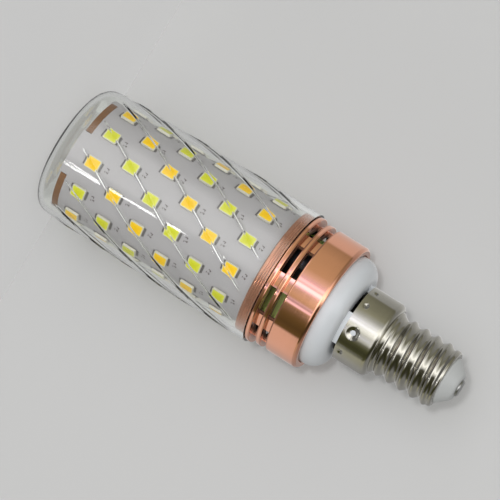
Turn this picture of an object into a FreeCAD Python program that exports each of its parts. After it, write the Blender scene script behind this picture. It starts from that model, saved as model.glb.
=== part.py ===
"""Corn lamp with an E14 screw cap, in millimetres.

The lamp stands on its flat closed head with the cap upwards. The origin is the centre of the
head's flat face and Z is the lamp's axis. Every height is stacked up from the head, and every
radius is built up from the LED sheet, so a change of one size carries its neighbours with it.
"""
import math
import os

import FreeCAD
import Part

V = FreeCAD.Vector

# LED sheet: a thin printed board rolled into a tube
SHEET_RADIUS = 12.75
SHEET_THICKNESS = 0.6
SHEET_START = 3.75
SHEET_SEAM_GAP = 0.4
NOTCH_COUNT = 4
NOTCH_ANGLE = 46.0
NOTCH_DEPTH = 1.8

# LED packages, in rings that are turned a little from one to the next
RING_COUNT = 6
STRING_COUNT = 12
FIRST_RING_HEIGHT = 9.4
RING_PITCH = 7.2
RING_TWIST = 15.0
FIRST_LED_ANGLE = -90.0
LED_LENGTH = 3.2
LED_WIDTH = 2.6
LED_BODY_HEIGHT = 0.45
LED_TERMINAL_HEIGHT = 0.15
LED_TERMINAL_REACH = 0.5
LED_TERMINAL_WIDTH = 2.0
LED_PHOSPHOR_HEIGHT = 0.12
LED_PHOSPHOR_MARGIN = 0.26
END_LED_COUNT = 8
END_LED_CIRCLE = 8.4

# End board: a tabbed disc that closes the head end of the LED sheet
END_BOARD_THICKNESS = 1.4
END_BOARD_CLEARANCE = 0.15
TAB_SIDE_CLEARANCE = 0.1
TAB_PROUD = 0.1

# Clear cover: a closed tube with a little draft and one helical rib over each LED string
COVER_LED_CLEARANCE = 0.2
COVER_WALL = 1.0
COVER_DRAFT = 0.55
COVER_CORNER = 3.2
LAST_RING_TO_MOUTH = 8.0
RIB_WIDTH = 0.7
RIB_PROUD = 0.22
RIB_ROOT = 0.15
RIB_START = 6.0
RIB_END_SPACE = 4.4

# Collar: neck inside the cover, two ridges, two slotted grooves and a wide band
NECK_LENGTH = 2.5
NECK_CLEARANCE = 0.1
SEAT_CLEARANCE = 0.1
SEAT_DEPTH = 1.2
SEAT_LEDGE = 0.15
COLLAR_WALL = 1.2
GROOVE_DEPTH = 1.2
RIDGE_STEP = 0.45
RIDGE_WIDTH = 1.1
GROOVE_WIDTH = 1.4
BAND_WIDTH = 6.25
BAND_BEVEL_HEIGHT = 0.95
BAND_BEVEL_DEPTH = 0.5
BAND_WALL = 1.65
BAND_LEDGE_HEIGHT = 0.8
VENT_COUNT = 8
VENT_ANGLE = 30.0

# Base housing: white moulding between the collar and the cap
HOUSING_CLEARANCE = 0.1
HOUSING_WALL = 1.3
SHOULDER_HEIGHT = 4.4
SHOULDER_END_STEP = 0.5
KEY_COUNT = 3
KEY_ANGLE = 52.0
KEY_HEIGHT = 0.9
KEY_TURN = 12.5
KEY_LAP = 1.0
SPIGOT_WALL = 1.3
SPIGOT_CLEARANCE = 0.1

# Screw cap: one drawn sheet with a plain skirt, a step and the E14 thread
SKIRT_RADIUS = 8.5
SKIRT_LENGTH = 6.4
CAP_SHEET = 0.3
STEP_HEIGHT = 1.5
THREAD_CREST_RADIUS = 6.93
THREAD_DEPTH = 0.8
THREAD_PITCH = 2.82
THREAD_CREST_WIDTH = 0.5
THREAD_TURNS = 4.1
THREAD_LEAD_IN = 1.55
THREAD_RUN_OUT = 1.3
LIP_RADIUS = 5.35
CRIMP_RADIUS = 1.9
CRIMP_DEPTH = 0.5
CRIMP_HEIGHT = 2.1
CRIMP_TURN = 10.6
DOT_RADIUS = 0.7
DOT_DEPTH = 0.28
DOT_HEIGHT = 1.3
DOT_TURNS = (-62.0, -33.0, 48.0)

# Tip of the cap: insulator and centre contact
INSULATOR_CLEARANCE = 0.08
INSULATOR_HEIGHT = 3.0
INSULATOR_RIM = 0.3
INSULATOR_TOP_RADIUS = 2.4
INSULATOR_ROUND = 1.4
INSULATOR_SLOPE = 40.0
INSULATOR_FLANGE_HEIGHT = 1.0
CONTACT_RADIUS = 1.9
CONTACT_HEIGHT = 0.5
CONTACT_BEVEL = 0.3
CONTACT_SHANK_RADIUS = 0.9
CONTACT_SHANK_TAIL = 1.4

# Driver board and what is soldered to it
BOARD_THICKNESS = 1.2
BOARD_FRONT = 1.0
BOARD_SIDE_CLEARANCE = 0.3
BOARD_TONGUE_WIDTH = 9.0
BOARD_TONGUE_LENGTH = 6.0
CAPACITOR_RADIUS = 4.0
CAPACITOR_LENGTH = 9.6
CAPACITOR_GROOVE = 0.3
FILM_DEPTH = 4.6
FILM_LENGTH = 7.0
PACKAGE_GAP = 1.0
CHIP_LENGTH = 4.9
CHIP_WIDTH = 3.9
CHIP_HEIGHT = 1.5
CHIP_PIN_REACH = 0.9
CHIP_PIN_WIDTH = 0.5
CHIP_PIN_HEIGHT = 0.3
RESISTOR_RADIUS = 1.2
RESISTOR_LENGTH = 6.2
LEAD_RADIUS = 0.45
LEAD_BEND = 1.2
LEAD_SOLDER_LENGTH = 2.4
FEED_LEAD_REACH = 3.5

# Radii built up from the sheet
SHEET_BORE = SHEET_RADIUS - SHEET_THICKNESS
LED_HEIGHT = LED_TERMINAL_HEIGHT + LED_BODY_HEIGHT + LED_PHOSPHOR_HEIGHT
COVER_BORE = SHEET_RADIUS + LED_HEIGHT + COVER_LED_CLEARANCE
COVER_HEAD_RADIUS = COVER_BORE + COVER_WALL
COLLAR_BORE = SHEET_BORE - SEAT_LEDGE
GROOVE_RADIUS = COLLAR_BORE + COLLAR_WALL
BAND_RADIUS = GROOVE_RADIUS + GROOVE_DEPTH
RIDGE_RADIUS = BAND_RADIUS + RIDGE_STEP
HOUSING_RADIUS = BAND_RADIUS - BAND_WALL - HOUSING_CLEARANCE
HOUSING_BORE = HOUSING_RADIUS - HOUSING_WALL
SPIGOT_RADIUS = SKIRT_RADIUS - CAP_SHEET - SPIGOT_CLEARANCE
SPIGOT_BORE = SPIGOT_RADIUS - SPIGOT_WALL
FOOT_RADIUS = SKIRT_RADIUS + SHOULDER_END_STEP
SHOULDER_ROUND = HOUSING_RADIUS - FOOT_RADIUS
THREAD_ROOT_RADIUS = THREAD_CREST_RADIUS - THREAD_DEPTH

# Heights stacked up from the head
LAST_RING_HEIGHT = FIRST_RING_HEIGHT + (RING_COUNT - 1) * RING_PITCH
COVER_LENGTH = LAST_RING_HEIGHT + LAST_RING_TO_MOUTH
NECK_START = COVER_LENGTH - NECK_LENGTH
SEAT_HEIGHT = NECK_START + SEAT_DEPTH
GROOVE_1 = COVER_LENGTH + RIDGE_WIDTH
RIDGE_2 = GROOVE_1 + GROOVE_WIDTH
GROOVE_2 = RIDGE_2 + RIDGE_WIDTH
BAND_START = GROOVE_2 + GROOVE_WIDTH
BAND_END = BAND_START + BAND_WIDTH
COLLAR_END = BAND_END + BAND_BEVEL_HEIGHT
HOUSING_START = BAND_START + BAND_LEDGE_HEIGHT
SHOULDER_END = COLLAR_END + SHOULDER_HEIGHT
ROUND_START = SHOULDER_END - SHOULDER_ROUND
TONGUE_END = ROUND_START + BOARD_TONGUE_LENGTH
SKIRT_START = SHOULDER_END + KEY_HEIGHT
SKIRT_END = SKIRT_START + SKIRT_LENGTH
STEP_END = SKIRT_END + STEP_HEIGHT
THREAD_START = STEP_END + THREAD_LEAD_IN
THREAD_END = THREAD_START + THREAD_TURNS * THREAD_PITCH
CAP_END = THREAD_END + THREAD_RUN_OUT
TIP_HEIGHT = CAP_END + INSULATOR_HEIGHT
NOTCH_FLOOR = SHEET_START + NOTCH_DEPTH
END_BOARD_START = NOTCH_FLOOR - END_BOARD_THICKNESS


def cover_radius(height):
    """Outer radius of the drafted cover at a height."""
    return COVER_HEAD_RADIUS + COVER_DRAFT * height / COVER_LENGTH


def on_circle(centre, radius, degrees):
    """Point (radius, height) on a corner circle of an outline."""
    turn = math.radians(degrees)
    return (centre[0] + radius * math.cos(turn), centre[1] + radius * math.sin(turn))


def turned(start, *steps):
    """Solid turned about Z. A step is a point, or a pair: a point on an arc and the arc's end."""
    edges = []
    here = start
    for step in steps + (start,):
        arc = isinstance(step[0], tuple)
        end = step[1] if arc else step
        first = V(here[0], 0, here[1])
        last = V(end[0], 0, end[1])
        if arc:
            edges.append(Part.Arc(first, V(step[0][0], 0, step[0][1]), last).toShape())
        elif first.distanceToPoint(last) > 1e-9:
            edges.append(Part.makeLine(first, last))
        here = end
    face = Part.Face(Part.Wire(edges))
    return face.revolve(V(0, 0, 0), V(0, 0, 1), 360)


def sector(inner, outer, bottom, top, middle, width):
    """Piece of a ring, with its middle and width as angles in degrees."""
    corners = [V(inner, 0, bottom), V(outer, 0, bottom), V(outer, 0, top), V(inner, 0, top)]
    face = Part.Face(Part.makePolygon(corners + corners[:1]))
    face.rotate(V(0, 0, 0), V(0, 0, 1), middle - width / 2)
    return face.revolve(V(0, 0, 0), V(0, 0, 1), width)


def block(low, high):
    """Box between two corners."""
    size = V(*high) - V(*low)
    return Part.makeBox(size.x, size.y, size.z, V(*low))


def placed(shape, degrees):
    """Copy of a shape turned about the lamp's axis."""
    copy = shape.copy()
    copy.rotate(V(0, 0, 0), V(0, 0, 1), degrees)
    return copy


def helical(profile, pitch, turns, radius, height, taper=0.0):
    """Solid swept along a right-hand helix from a closed profile at its start, on the X side."""
    path = Part.Wire(Part.makeHelix(pitch, pitch * turns, radius, taper).Edges)
    path.translate(V(0, 0, height))
    sweep = Part.BRepOffsetAPI.MakePipeShell(path)
    sweep.setFrenetMode(True)
    sweep.add(Part.makePolygon(profile + profile[:1]))
    sweep.build()
    sweep.makeSolid()
    return sweep.shape()


def lead(points, radius):
    """Wire of round section along straight runs joined by tangent arcs."""
    spots = [V(*point) for point in points]
    edges = []
    here = spots[0]
    for before, corner, after in zip(spots, spots[1:], spots[2:]):
        back = (before - corner).normalize()
        ahead = (after - corner).normalize()
        half = back.getAngle(ahead) / 2
        setback = LEAD_BEND / math.tan(half)
        middle = (back + ahead).normalize()
        inside = corner + middle * (LEAD_BEND / math.sin(half) - LEAD_BEND)
        edges.append(Part.makeLine(here, corner + back * setback))
        edges.append(Part.Arc(corner + back * setback, inside, corner + ahead * setback).toShape())
        here = corner + ahead * setback
    edges.append(Part.makeLine(here, spots[-1]))
    ring = Part.Wire(Part.makeCircle(radius, spots[0], spots[1] - spots[0]))
    return Part.Wire(edges).makePipeShell([ring], True, False)


def clear_cover():
    """Closed drafted tube with a rounded head and a helical rib over each LED string."""
    corner = COVER_CORNER
    inner_corner = COVER_CORNER - COVER_WALL
    outer_side = cover_radius(corner)
    inner_side = outer_side - COVER_WALL
    outer_centre = (outer_side - corner, corner)
    inner_centre = (inner_side - inner_corner, corner)
    mouth = cover_radius(COVER_LENGTH)
    tube = turned(
        (0, 0),
        (outer_centre[0], 0),
        (on_circle(outer_centre, corner, -45), (outer_side, corner)),
        (mouth, COVER_LENGTH),
        (mouth - COVER_WALL, COVER_LENGTH),
        (inner_side, corner),
        (on_circle(inner_centre, inner_corner, -45), (inner_centre[0], COVER_WALL)),
        (0, COVER_WALL),
    )
    rib_radius = cover_radius(RIB_START)
    rib_length = LAST_RING_HEIGHT + RIB_END_SPACE - RIB_START
    pitch = RING_PITCH * 360 / RING_TWIST
    profile = [
        V(rib_radius - RIB_ROOT, -RIB_WIDTH / 2, RIB_START),
        V(rib_radius + RIB_PROUD, 0, RIB_START),
        V(rib_radius - RIB_ROOT, RIB_WIDTH / 2, RIB_START),
    ]
    taper = math.degrees(math.atan(COVER_DRAFT / COVER_LENGTH))
    rib = helical(profile, pitch, rib_length / pitch, rib_radius, RIB_START, taper)
    first_turn = FIRST_LED_ANGLE - (FIRST_RING_HEIGHT - RIB_START) / RING_PITCH * RING_TWIST
    ribs = [placed(rib, first_turn + string * 360 / STRING_COUNT) for string in range(STRING_COUNT)]
    return tube.fuse(ribs)


def led_sheet():
    """Rolled board with four notches at its head end and a straight seam at the back."""
    sheet = turned(
        (SHEET_BORE, SHEET_START),
        (SHEET_RADIUS, SHEET_START),
        (SHEET_RADIUS, SEAT_HEIGHT),
        (SHEET_BORE, SEAT_HEIGHT),
    )
    reach = SHEET_RADIUS + SHEET_THICKNESS
    half_seam = SHEET_SEAM_GAP / 2
    cuts = [block((-half_seam, 0, SHEET_START), (half_seam, reach, SEAT_HEIGHT))]
    cuts += [sector(SHEET_BORE / 2, reach, 0, NOTCH_FLOOR, angle, NOTCH_ANGLE) for angle in notch_angles()]
    return sheet.cut(cuts)


def notch_angles():
    """Middles of the notches, halfway between the lamp's main directions."""
    step = 360 / NOTCH_COUNT
    return [FIRST_LED_ANGLE + step * (place + 0.5) for place in range(NOTCH_COUNT)]


def end_board():
    """Disc inside the sheet's head end, with tabs that fill the sheet's notches."""
    disc_radius = SHEET_BORE - END_BOARD_CLEARANCE
    tab_radius = SHEET_RADIUS + TAB_PROUD
    tab_angle = NOTCH_ANGLE - 2 * math.degrees(TAB_SIDE_CLEARANCE / SHEET_RADIUS)
    disc = Part.makeCylinder(disc_radius, END_BOARD_THICKNESS, V(0, 0, END_BOARD_START))
    tabs = [
        sector(disc_radius / 2, tab_radius, END_BOARD_START, NOTCH_FLOOR, angle, tab_angle)
        for angle in notch_angles()
    ]
    return disc.fuse(tabs).removeSplitter()


def led_pieces():
    """Terminal strip, body and phosphor of one LED that looks along X from the origin."""
    body_start = LED_TERMINAL_HEIGHT
    phosphor_start = body_start + LED_BODY_HEIGHT
    half_length = LED_LENGTH / 2
    strip_length = half_length + LED_TERMINAL_REACH
    half_strip = LED_TERMINAL_WIDTH / 2
    half_width = LED_WIDTH / 2
    inset = LED_PHOSPHOR_MARGIN
    strip = block((0, -half_strip, -strip_length), (body_start, half_strip, strip_length))
    body = block((body_start, -half_width, -half_length), (phosphor_start, half_width, half_length))
    phosphor = block(
        (phosphor_start, inset - half_width, inset - half_length),
        (LED_HEIGHT, half_width - inset, half_length - inset),
    )
    return strip, body, phosphor


def side_leds(strings):
    """Terminals, bodies and phosphors of the LEDs of some strings, as three groups."""
    groups = ([], [], [])
    for string in strings:
        for ring in range(RING_COUNT):
            angle = FIRST_LED_ANGLE + string * 360 / STRING_COUNT + ring * RING_TWIST
            for group, piece in zip(groups, led_pieces()):
                piece.translate(V(SHEET_RADIUS, 0, FIRST_RING_HEIGHT + ring * RING_PITCH))
                group.append(placed(piece, angle))
    return [Part.makeCompound(group) for group in groups]


def end_leds():
    """Terminals, bodies and phosphors of the LEDs on the end board's outer face."""
    groups = ([], [], [])
    for place in range(END_LED_COUNT):
        for group, piece in zip(groups, led_pieces()):
            piece.rotate(V(0, 0, 0), V(0, 1, 0), 90)
            piece.translate(V(END_LED_CIRCLE, 0, END_BOARD_START))
            group.append(placed(piece, FIRST_LED_ANGLE + place * 360 / END_LED_COUNT))
    return [Part.makeCompound(group) for group in groups]


def collar():
    """Plated collar: neck in the cover's mouth, two ridges, two slotted grooves and a band."""
    neck_radius = cover_radius(NECK_START) - COVER_WALL - NECK_CLEARANCE
    neck_bore = SHEET_RADIUS + SEAT_CLEARANCE
    band_bore = HOUSING_RADIUS + HOUSING_CLEARANCE
    ring = turned(
        (neck_bore, NECK_START),
        (neck_radius, NECK_START),
        (neck_radius, COVER_LENGTH),
        (RIDGE_RADIUS, COVER_LENGTH),
        (RIDGE_RADIUS, GROOVE_1),
        (GROOVE_RADIUS, GROOVE_1),
        (GROOVE_RADIUS, RIDGE_2),
        (BAND_RADIUS, RIDGE_2),
        (BAND_RADIUS, GROOVE_2),
        (GROOVE_RADIUS, GROOVE_2),
        (GROOVE_RADIUS, BAND_START),
        (BAND_RADIUS, BAND_START),
        (BAND_RADIUS, BAND_END),
        (BAND_RADIUS - BAND_BEVEL_DEPTH, COLLAR_END),
        (band_bore, COLLAR_END),
        (band_bore, HOUSING_START),
        (COLLAR_BORE, HOUSING_START),
        (COLLAR_BORE, SEAT_HEIGHT),
        (neck_bore, SEAT_HEIGHT),
    )
    step = 360 / VENT_COUNT
    vents = [
        sector(COLLAR_BORE / 2, RIDGE_RADIUS, floor, floor + GROOVE_WIDTH, step * (place + 0.5), VENT_ANGLE)
        for floor in (GROOVE_1, GROOVE_2)
        for place in range(VENT_COUNT)
    ]
    return ring.cut(vents)


def base_housing():
    """White moulding: tube in the collar, round shoulder, and a spigot on keys with windows between."""
    round_centre = (FOOT_RADIUS, ROUND_START)
    inner_round = SHOULDER_ROUND - HOUSING_WALL
    spigot_end = SKIRT_END - CAP_SHEET
    moulding = turned(
        (HOUSING_BORE, HOUSING_START),
        (HOUSING_RADIUS, HOUSING_START),
        (HOUSING_RADIUS, ROUND_START),
        (on_circle(round_centre, SHOULDER_ROUND, 45), (FOOT_RADIUS, SHOULDER_END)),
        (SPIGOT_RADIUS, SHOULDER_END),
        (SPIGOT_RADIUS, spigot_end),
        (SPIGOT_BORE, spigot_end),
        (SPIGOT_BORE, SHOULDER_END - HOUSING_WALL),
        (FOOT_RADIUS, SHOULDER_END - HOUSING_WALL),
        (on_circle(round_centre, inner_round, 45), (HOUSING_BORE, ROUND_START)),
    )
    step = 360 / KEY_COUNT
    first_key = FIRST_LED_ANGLE + KEY_TURN
    keys = [
        sector(SPIGOT_RADIUS - SPIGOT_WALL / 2, SKIRT_RADIUS, SHOULDER_END - SPIGOT_WALL / 2, SKIRT_START,
               first_key + step * place, KEY_ANGLE)
        for place in range(KEY_COUNT)
    ]
    windows = [
        sector(SPIGOT_BORE / 2, SKIRT_RADIUS, SHOULDER_END, SKIRT_START,
               first_key + step * (place + 0.5), step - KEY_ANGLE - 2 * KEY_LAP)
        for place in range(KEY_COUNT)
    ]
    recesses = [dimple(*spot, CAP_SHEET + SPIGOT_CLEARANCE) for spot in dimple_spots()]
    return moulding.fuse(keys).cut(windows + recesses)


def dimple_spots():
    """Turn, height over the skirt's edge, radius and depth of each dimple that fixes the cap."""
    spots = []
    for half_turn in (0, 180):
        spots.append((CRIMP_TURN + half_turn, CRIMP_HEIGHT, CRIMP_RADIUS, CRIMP_DEPTH))
        spots += [(turn + half_turn, DOT_HEIGHT, DOT_RADIUS, DOT_DEPTH) for turn in DOT_TURNS]
    return spots


def dimple(turn, height, radius, depth, growth=0.0):
    """Ball that presses a dimple of some depth into the skirt, grown by the sheet or a clearance."""
    ball = Part.makeSphere(radius + growth, V(SKIRT_RADIUS + radius - depth, 0, SKIRT_START + height))
    return placed(ball, FIRST_LED_ANGLE + turn)


def screw_cap():
    """Drawn sheet cap: skirt, rounded step, threaded tube and a lip that holds the insulator."""
    step_radius = THREAD_CREST_RADIUS + CAP_SHEET
    step_round = SKIRT_RADIUS - step_radius
    centre = (step_radius, SKIRT_END)
    bore = THREAD_ROOT_RADIUS - CAP_SHEET
    tube = turned(
        (SKIRT_RADIUS - CAP_SHEET, SKIRT_START),
        (SKIRT_RADIUS, SKIRT_START),
        (SKIRT_RADIUS, SKIRT_END),
        (on_circle(centre, step_round, 45), (step_radius, SKIRT_END + step_round)),
        (THREAD_ROOT_RADIUS, STEP_END),
        (THREAD_ROOT_RADIUS, CAP_END - CAP_SHEET),
        (bore, CAP_END),
        (LIP_RADIUS, CAP_END),
        (LIP_RADIUS, CAP_END - CAP_SHEET),
        (bore, CAP_END - CAP_SHEET),
        (bore, STEP_END - CAP_SHEET),
        (step_radius, SKIRT_END + step_round - CAP_SHEET),
        (SKIRT_RADIUS - CAP_SHEET, SKIRT_END),
    )
    sink = THREAD_ROOT_RADIUS - CAP_SHEET / 2
    half_crest = THREAD_CREST_WIDTH / 2
    half_root = half_crest + THREAD_DEPTH
    profile = [
        V(sink, 0, THREAD_START - half_root),
        V(THREAD_CREST_RADIUS, 0, THREAD_START - half_crest),
        V(THREAD_CREST_RADIUS, 0, THREAD_START + half_crest),
        V(sink, 0, THREAD_START + half_root),
    ]
    thread = helical(profile, THREAD_PITCH, THREAD_TURNS, THREAD_ROOT_RADIUS, THREAD_START)
    cap = tube.fuse(thread)
    inside = Part.makeCylinder(SKIRT_RADIUS, SKIRT_LENGTH, V(0, 0, SKIRT_START))
    bumps = [dimple(*spot, CAP_SHEET).common(inside) for spot in dimple_spots()]
    return cap.fuse(bumps).cut([dimple(*spot) for spot in dimple_spots()])


def tip_insulator():
    """Moulded tip: flange under the cap's lip, and a blunt cone with a round edge."""
    base = LIP_RADIUS - INSULATOR_CLEARANCE
    flange = THREAD_ROOT_RADIUS - CAP_SHEET - INSULATOR_CLEARANCE
    seat = CAP_END - CAP_SHEET
    top_centre = (INSULATOR_TOP_RADIUS, TIP_HEIGHT - INSULATOR_ROUND)
    cone_end = on_circle(top_centre, INSULATOR_ROUND, INSULATOR_SLOPE)
    round_middle = on_circle(top_centre, INSULATOR_ROUND, (INSULATOR_SLOPE + 90) / 2)
    return turned(
        (CONTACT_SHANK_RADIUS, seat - INSULATOR_FLANGE_HEIGHT),
        (flange, seat - INSULATOR_FLANGE_HEIGHT),
        (flange, seat),
        (base, seat),
        (base, CAP_END + INSULATOR_RIM),
        cone_end,
        (round_middle, (INSULATOR_TOP_RADIUS, TIP_HEIGHT)),
        (CONTACT_SHANK_RADIUS, TIP_HEIGHT),
    )


def centre_contact():
    """Rivet through the insulator, with a low bevelled head."""
    tail = CAP_END - CAP_SHEET - INSULATOR_FLANGE_HEIGHT - CONTACT_SHANK_TAIL
    top = TIP_HEIGHT + CONTACT_HEIGHT
    return turned(
        (0, tail),
        (CONTACT_SHANK_RADIUS, tail),
        (CONTACT_SHANK_RADIUS, TIP_HEIGHT),
        (CONTACT_RADIUS, TIP_HEIGHT),
        (CONTACT_RADIUS, top - CONTACT_BEVEL),
        (CONTACT_RADIUS - CONTACT_BEVEL, top),
        (0, top),
    )


def board_width():
    """Half width of the driver board, which slides into the housing's tube."""
    back = BOARD_FRONT + BOARD_THICKNESS
    return math.sqrt((HOUSING_BORE - BOARD_SIDE_CLEARANCE) ** 2 - back ** 2)


def driver_board():
    """Upright board in the collar and housing, with a tongue that reaches into the spigot."""
    half = board_width()
    tongue = BOARD_TONGUE_WIDTH / 2
    back = BOARD_FRONT + BOARD_THICKNESS
    wide = block((-half, BOARD_FRONT, SEAT_HEIGHT), (half, back, ROUND_START))
    narrow = block((-tongue, BOARD_FRONT, ROUND_START), (tongue, back, TONGUE_END))
    return wide.fuse(narrow).removeSplitter()


def smoothing_capacitor():
    """Round can on the front of the board, with the rolled groove near its end."""
    radius = CAPACITOR_RADIUS
    groove = CAPACITOR_GROOVE
    can = turned(
        (0, 0),
        (radius, 0),
        (radius, CAPACITOR_RADIUS / 2 - groove),
        (radius - groove, CAPACITOR_RADIUS / 2),
        (radius, CAPACITOR_RADIUS / 2 + groove),
        (radius, CAPACITOR_LENGTH),
        (0, CAPACITOR_LENGTH),
    )
    can.translate(V(-radius - PACKAGE_GAP / 2, BOARD_FRONT - radius, SEAT_HEIGHT + PACKAGE_GAP))
    return can


def film_capacitor():
    """Boxed capacitor that fills the board's front between the can and the LED feed lead."""
    lead_side = board_width() - 3 * LEAD_RADIUS
    bottom = SEAT_HEIGHT + PACKAGE_GAP
    low = (PACKAGE_GAP / 2, BOARD_FRONT - FILM_DEPTH, bottom)
    high = (lead_side - PACKAGE_GAP, BOARD_FRONT, bottom + FILM_LENGTH)
    return block(low, high)


def chip(centre_x, start):
    """Flat package with four pins a side on the back of the board."""
    back = BOARD_FRONT + BOARD_THICKNESS
    half = CHIP_WIDTH / 2
    lift = CHIP_PIN_HEIGHT
    under = back + lift / 2
    end = start + CHIP_LENGTH
    body = block((centre_x - half, under, start), (centre_x + half, under + CHIP_HEIGHT, end))
    reach = half + CHIP_PIN_REACH
    step = CHIP_LENGTH / 4
    pins = []
    for place in range(4):
        low = start + step * (place + 0.5) - CHIP_PIN_WIDTH / 2
        high = low + CHIP_PIN_WIDTH
        pins.append(block((centre_x - reach, back, low), (centre_x + reach, back + lift, high)))
    return body.fuse(pins)


def bridge_rectifier():
    """Rectifier package near the cap end of the board."""
    return chip(-board_width() / 2, ROUND_START - CHIP_LENGTH - PACKAGE_GAP)


def driver_chip():
    """Current regulator package near the head end of the board."""
    return chip(board_width() / 2, SEAT_HEIGHT + PACKAGE_GAP)


def fuse_resistor():
    """Round resistor across the front of the board, with a waist between its caps."""
    radius = RESISTOR_RADIUS
    waist = radius * 0.85
    cap = RESISTOR_LENGTH / 5
    body = turned(
        (0, 0),
        (radius, 0),
        (radius, cap),
        (waist, cap),
        (waist, RESISTOR_LENGTH - cap),
        (radius, RESISTOR_LENGTH - cap),
        (radius, RESISTOR_LENGTH),
        (0, RESISTOR_LENGTH),
    )
    body.rotate(V(0, 0, 0), V(0, 1, 0), 90)
    height = SEAT_HEIGHT + PACKAGE_GAP + CAPACITOR_LENGTH + PACKAGE_GAP / 2 + radius
    body.translate(V(-RESISTOR_LENGTH / 2, BOARD_FRONT - radius, height))
    return body


def live_lead():
    """Wire from the board's tongue up to the centre contact's shank."""
    tail = CAP_END - CAP_SHEET - INSULATOR_FLANGE_HEIGHT - CONTACT_SHANK_TAIL
    side = BOARD_FRONT - LEAD_RADIUS
    rise = (tail - TONGUE_END) / 3
    points = [
        (0, side, TONGUE_END - LEAD_SOLDER_LENGTH),
        (0, side, TONGUE_END + rise),
        (0, 0, tail - rise),
        (0, 0, tail),
    ]
    return lead(points, LEAD_RADIUS)


def neutral_lead():
    """Wire from the board's tongue up to the wall of the screw cap."""
    side = BOARD_FRONT - LEAD_RADIUS
    start_x = BOARD_TONGUE_WIDTH / 2 - 2 * LEAD_RADIUS
    wall_x = THREAD_ROOT_RADIUS - CAP_SHEET - LEAD_RADIUS - SPIGOT_CLEARANCE
    rise = (STEP_END + THREAD_LEAD_IN - TONGUE_END) / 2
    points = [
        (start_x, side, TONGUE_END - LEAD_SOLDER_LENGTH),
        (start_x, side, TONGUE_END + rise),
        (wall_x, 0, STEP_END + THREAD_LEAD_IN),
        (wall_x, 0, STEP_END + THREAD_LEAD_IN + THREAD_PITCH),
    ]
    return lead(points, LEAD_RADIUS)


def feed_lead(sign):
    """Wire from the head end of the board to the inside of the LED sheet."""
    side = BOARD_FRONT - LEAD_RADIUS
    board_x = sign * (board_width() - 2 * LEAD_RADIUS)
    sheet_x = sign * (SHEET_BORE - LEAD_RADIUS - END_BOARD_CLEARANCE)
    points = [
        (board_x, side, SEAT_HEIGHT + LEAD_SOLDER_LENGTH),
        (board_x, side, SEAT_HEIGHT - FEED_LEAD_REACH / 2),
        (sheet_x, 0, SEAT_HEIGHT - FEED_LEAD_REACH * 1.5),
        (sheet_x, 0, SEAT_HEIGHT - FEED_LEAD_REACH * 2.5),
    ]
    return lead(points, LEAD_RADIUS)


def nodes():
    """Every piece of the lamp by name."""
    warm = side_leds(range(0, STRING_COUNT, 2))
    cool = side_leds(range(1, STRING_COUNT, 2))
    end = end_leds()
    pieces = {
        "clear_cover": clear_cover(),
        "led_sheet": led_sheet(),
        "end_board": end_board(),
        "collar": collar(),
        "base_housing": base_housing(),
        "screw_cap": screw_cap(),
        "tip_insulator": tip_insulator(),
        "centre_contact": centre_contact(),
        "driver_board": driver_board(),
        "smoothing_capacitor": smoothing_capacitor(),
        "film_capacitor": film_capacitor(),
        "bridge_rectifier": bridge_rectifier(),
        "driver_chip": driver_chip(),
        "fuse_resistor": fuse_resistor(),
        "live_lead": live_lead(),
        "neutral_lead": neutral_lead(),
        "led_feed_lead_positive": feed_lead(1),
        "led_feed_lead_negative": feed_lead(-1),
    }
    for name, groups in (("warm", warm), ("cool", cool), ("end", end)):
        for kind, group in zip(("terminals", "bodies", "phosphors"), groups):
            pieces[f"{name}_led_{kind}"] = group
    return pieces


def main():
    """Write one STEP file for each piece."""
    os.makedirs("parts", exist_ok=True)
    for name, shape in nodes().items():
        shape.exportStep(f"parts/{name}.step")
        print(name, "solids", len(shape.Solids), "valid", shape.isValid(), "volume", round(shape.Volume, 2))


main()
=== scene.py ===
"""Looks of a corn lamp with an E14 cap: finishes, smooth shells, LED packages, stage and camera.

Shapes are worked out in millimetres in the CAD frame (cap up, head on the floor, axis on Z) and
written to the meshes in metres.
"""
import logging
import math
from dataclasses import dataclass, field
from enum import Enum
from typing import Any, Sequence, Union

import bpy
import numpy as np
from mathutils import Matrix, Vector


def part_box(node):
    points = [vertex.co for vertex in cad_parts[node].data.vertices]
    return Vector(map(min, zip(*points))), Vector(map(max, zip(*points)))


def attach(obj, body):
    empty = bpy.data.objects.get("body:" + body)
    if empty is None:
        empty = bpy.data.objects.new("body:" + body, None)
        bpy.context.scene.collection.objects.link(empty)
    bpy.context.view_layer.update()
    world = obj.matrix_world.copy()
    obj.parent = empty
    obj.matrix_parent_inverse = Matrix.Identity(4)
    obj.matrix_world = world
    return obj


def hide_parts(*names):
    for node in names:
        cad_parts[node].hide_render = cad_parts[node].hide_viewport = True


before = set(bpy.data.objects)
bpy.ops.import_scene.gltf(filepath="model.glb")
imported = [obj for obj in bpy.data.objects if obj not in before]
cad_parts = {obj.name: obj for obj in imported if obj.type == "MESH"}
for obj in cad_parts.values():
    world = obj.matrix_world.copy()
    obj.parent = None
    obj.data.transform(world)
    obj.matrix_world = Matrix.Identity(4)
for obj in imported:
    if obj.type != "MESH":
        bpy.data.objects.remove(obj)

LOG = logging.getLogger("corn_lamp")
MM = 0.001
PATCH_OCTAVES = 3.0
SOFT_OCTAVES = 2.0
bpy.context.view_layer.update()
Colour = tuple[float, float, float]
Corner = tuple[float, float, float]
Value = Union["Socket", float, int]


def srgb(red: float, green: float, blue: float) -> Colour:
    """Linear colour of a screen colour given as 0 to 255.

    Args:
        red: Red level.
        green: Green level.
        blue: Blue level.

    Returns:
        The three linear levels, 0 to 1.
    """
    levels = np.array([red, green, blue]) / 255
    linear = np.where(levels <= 0.04045, levels / 12.92, ((levels + 0.055) / 1.055) ** 2.4)
    return tuple(float(level) for level in linear)


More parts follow.
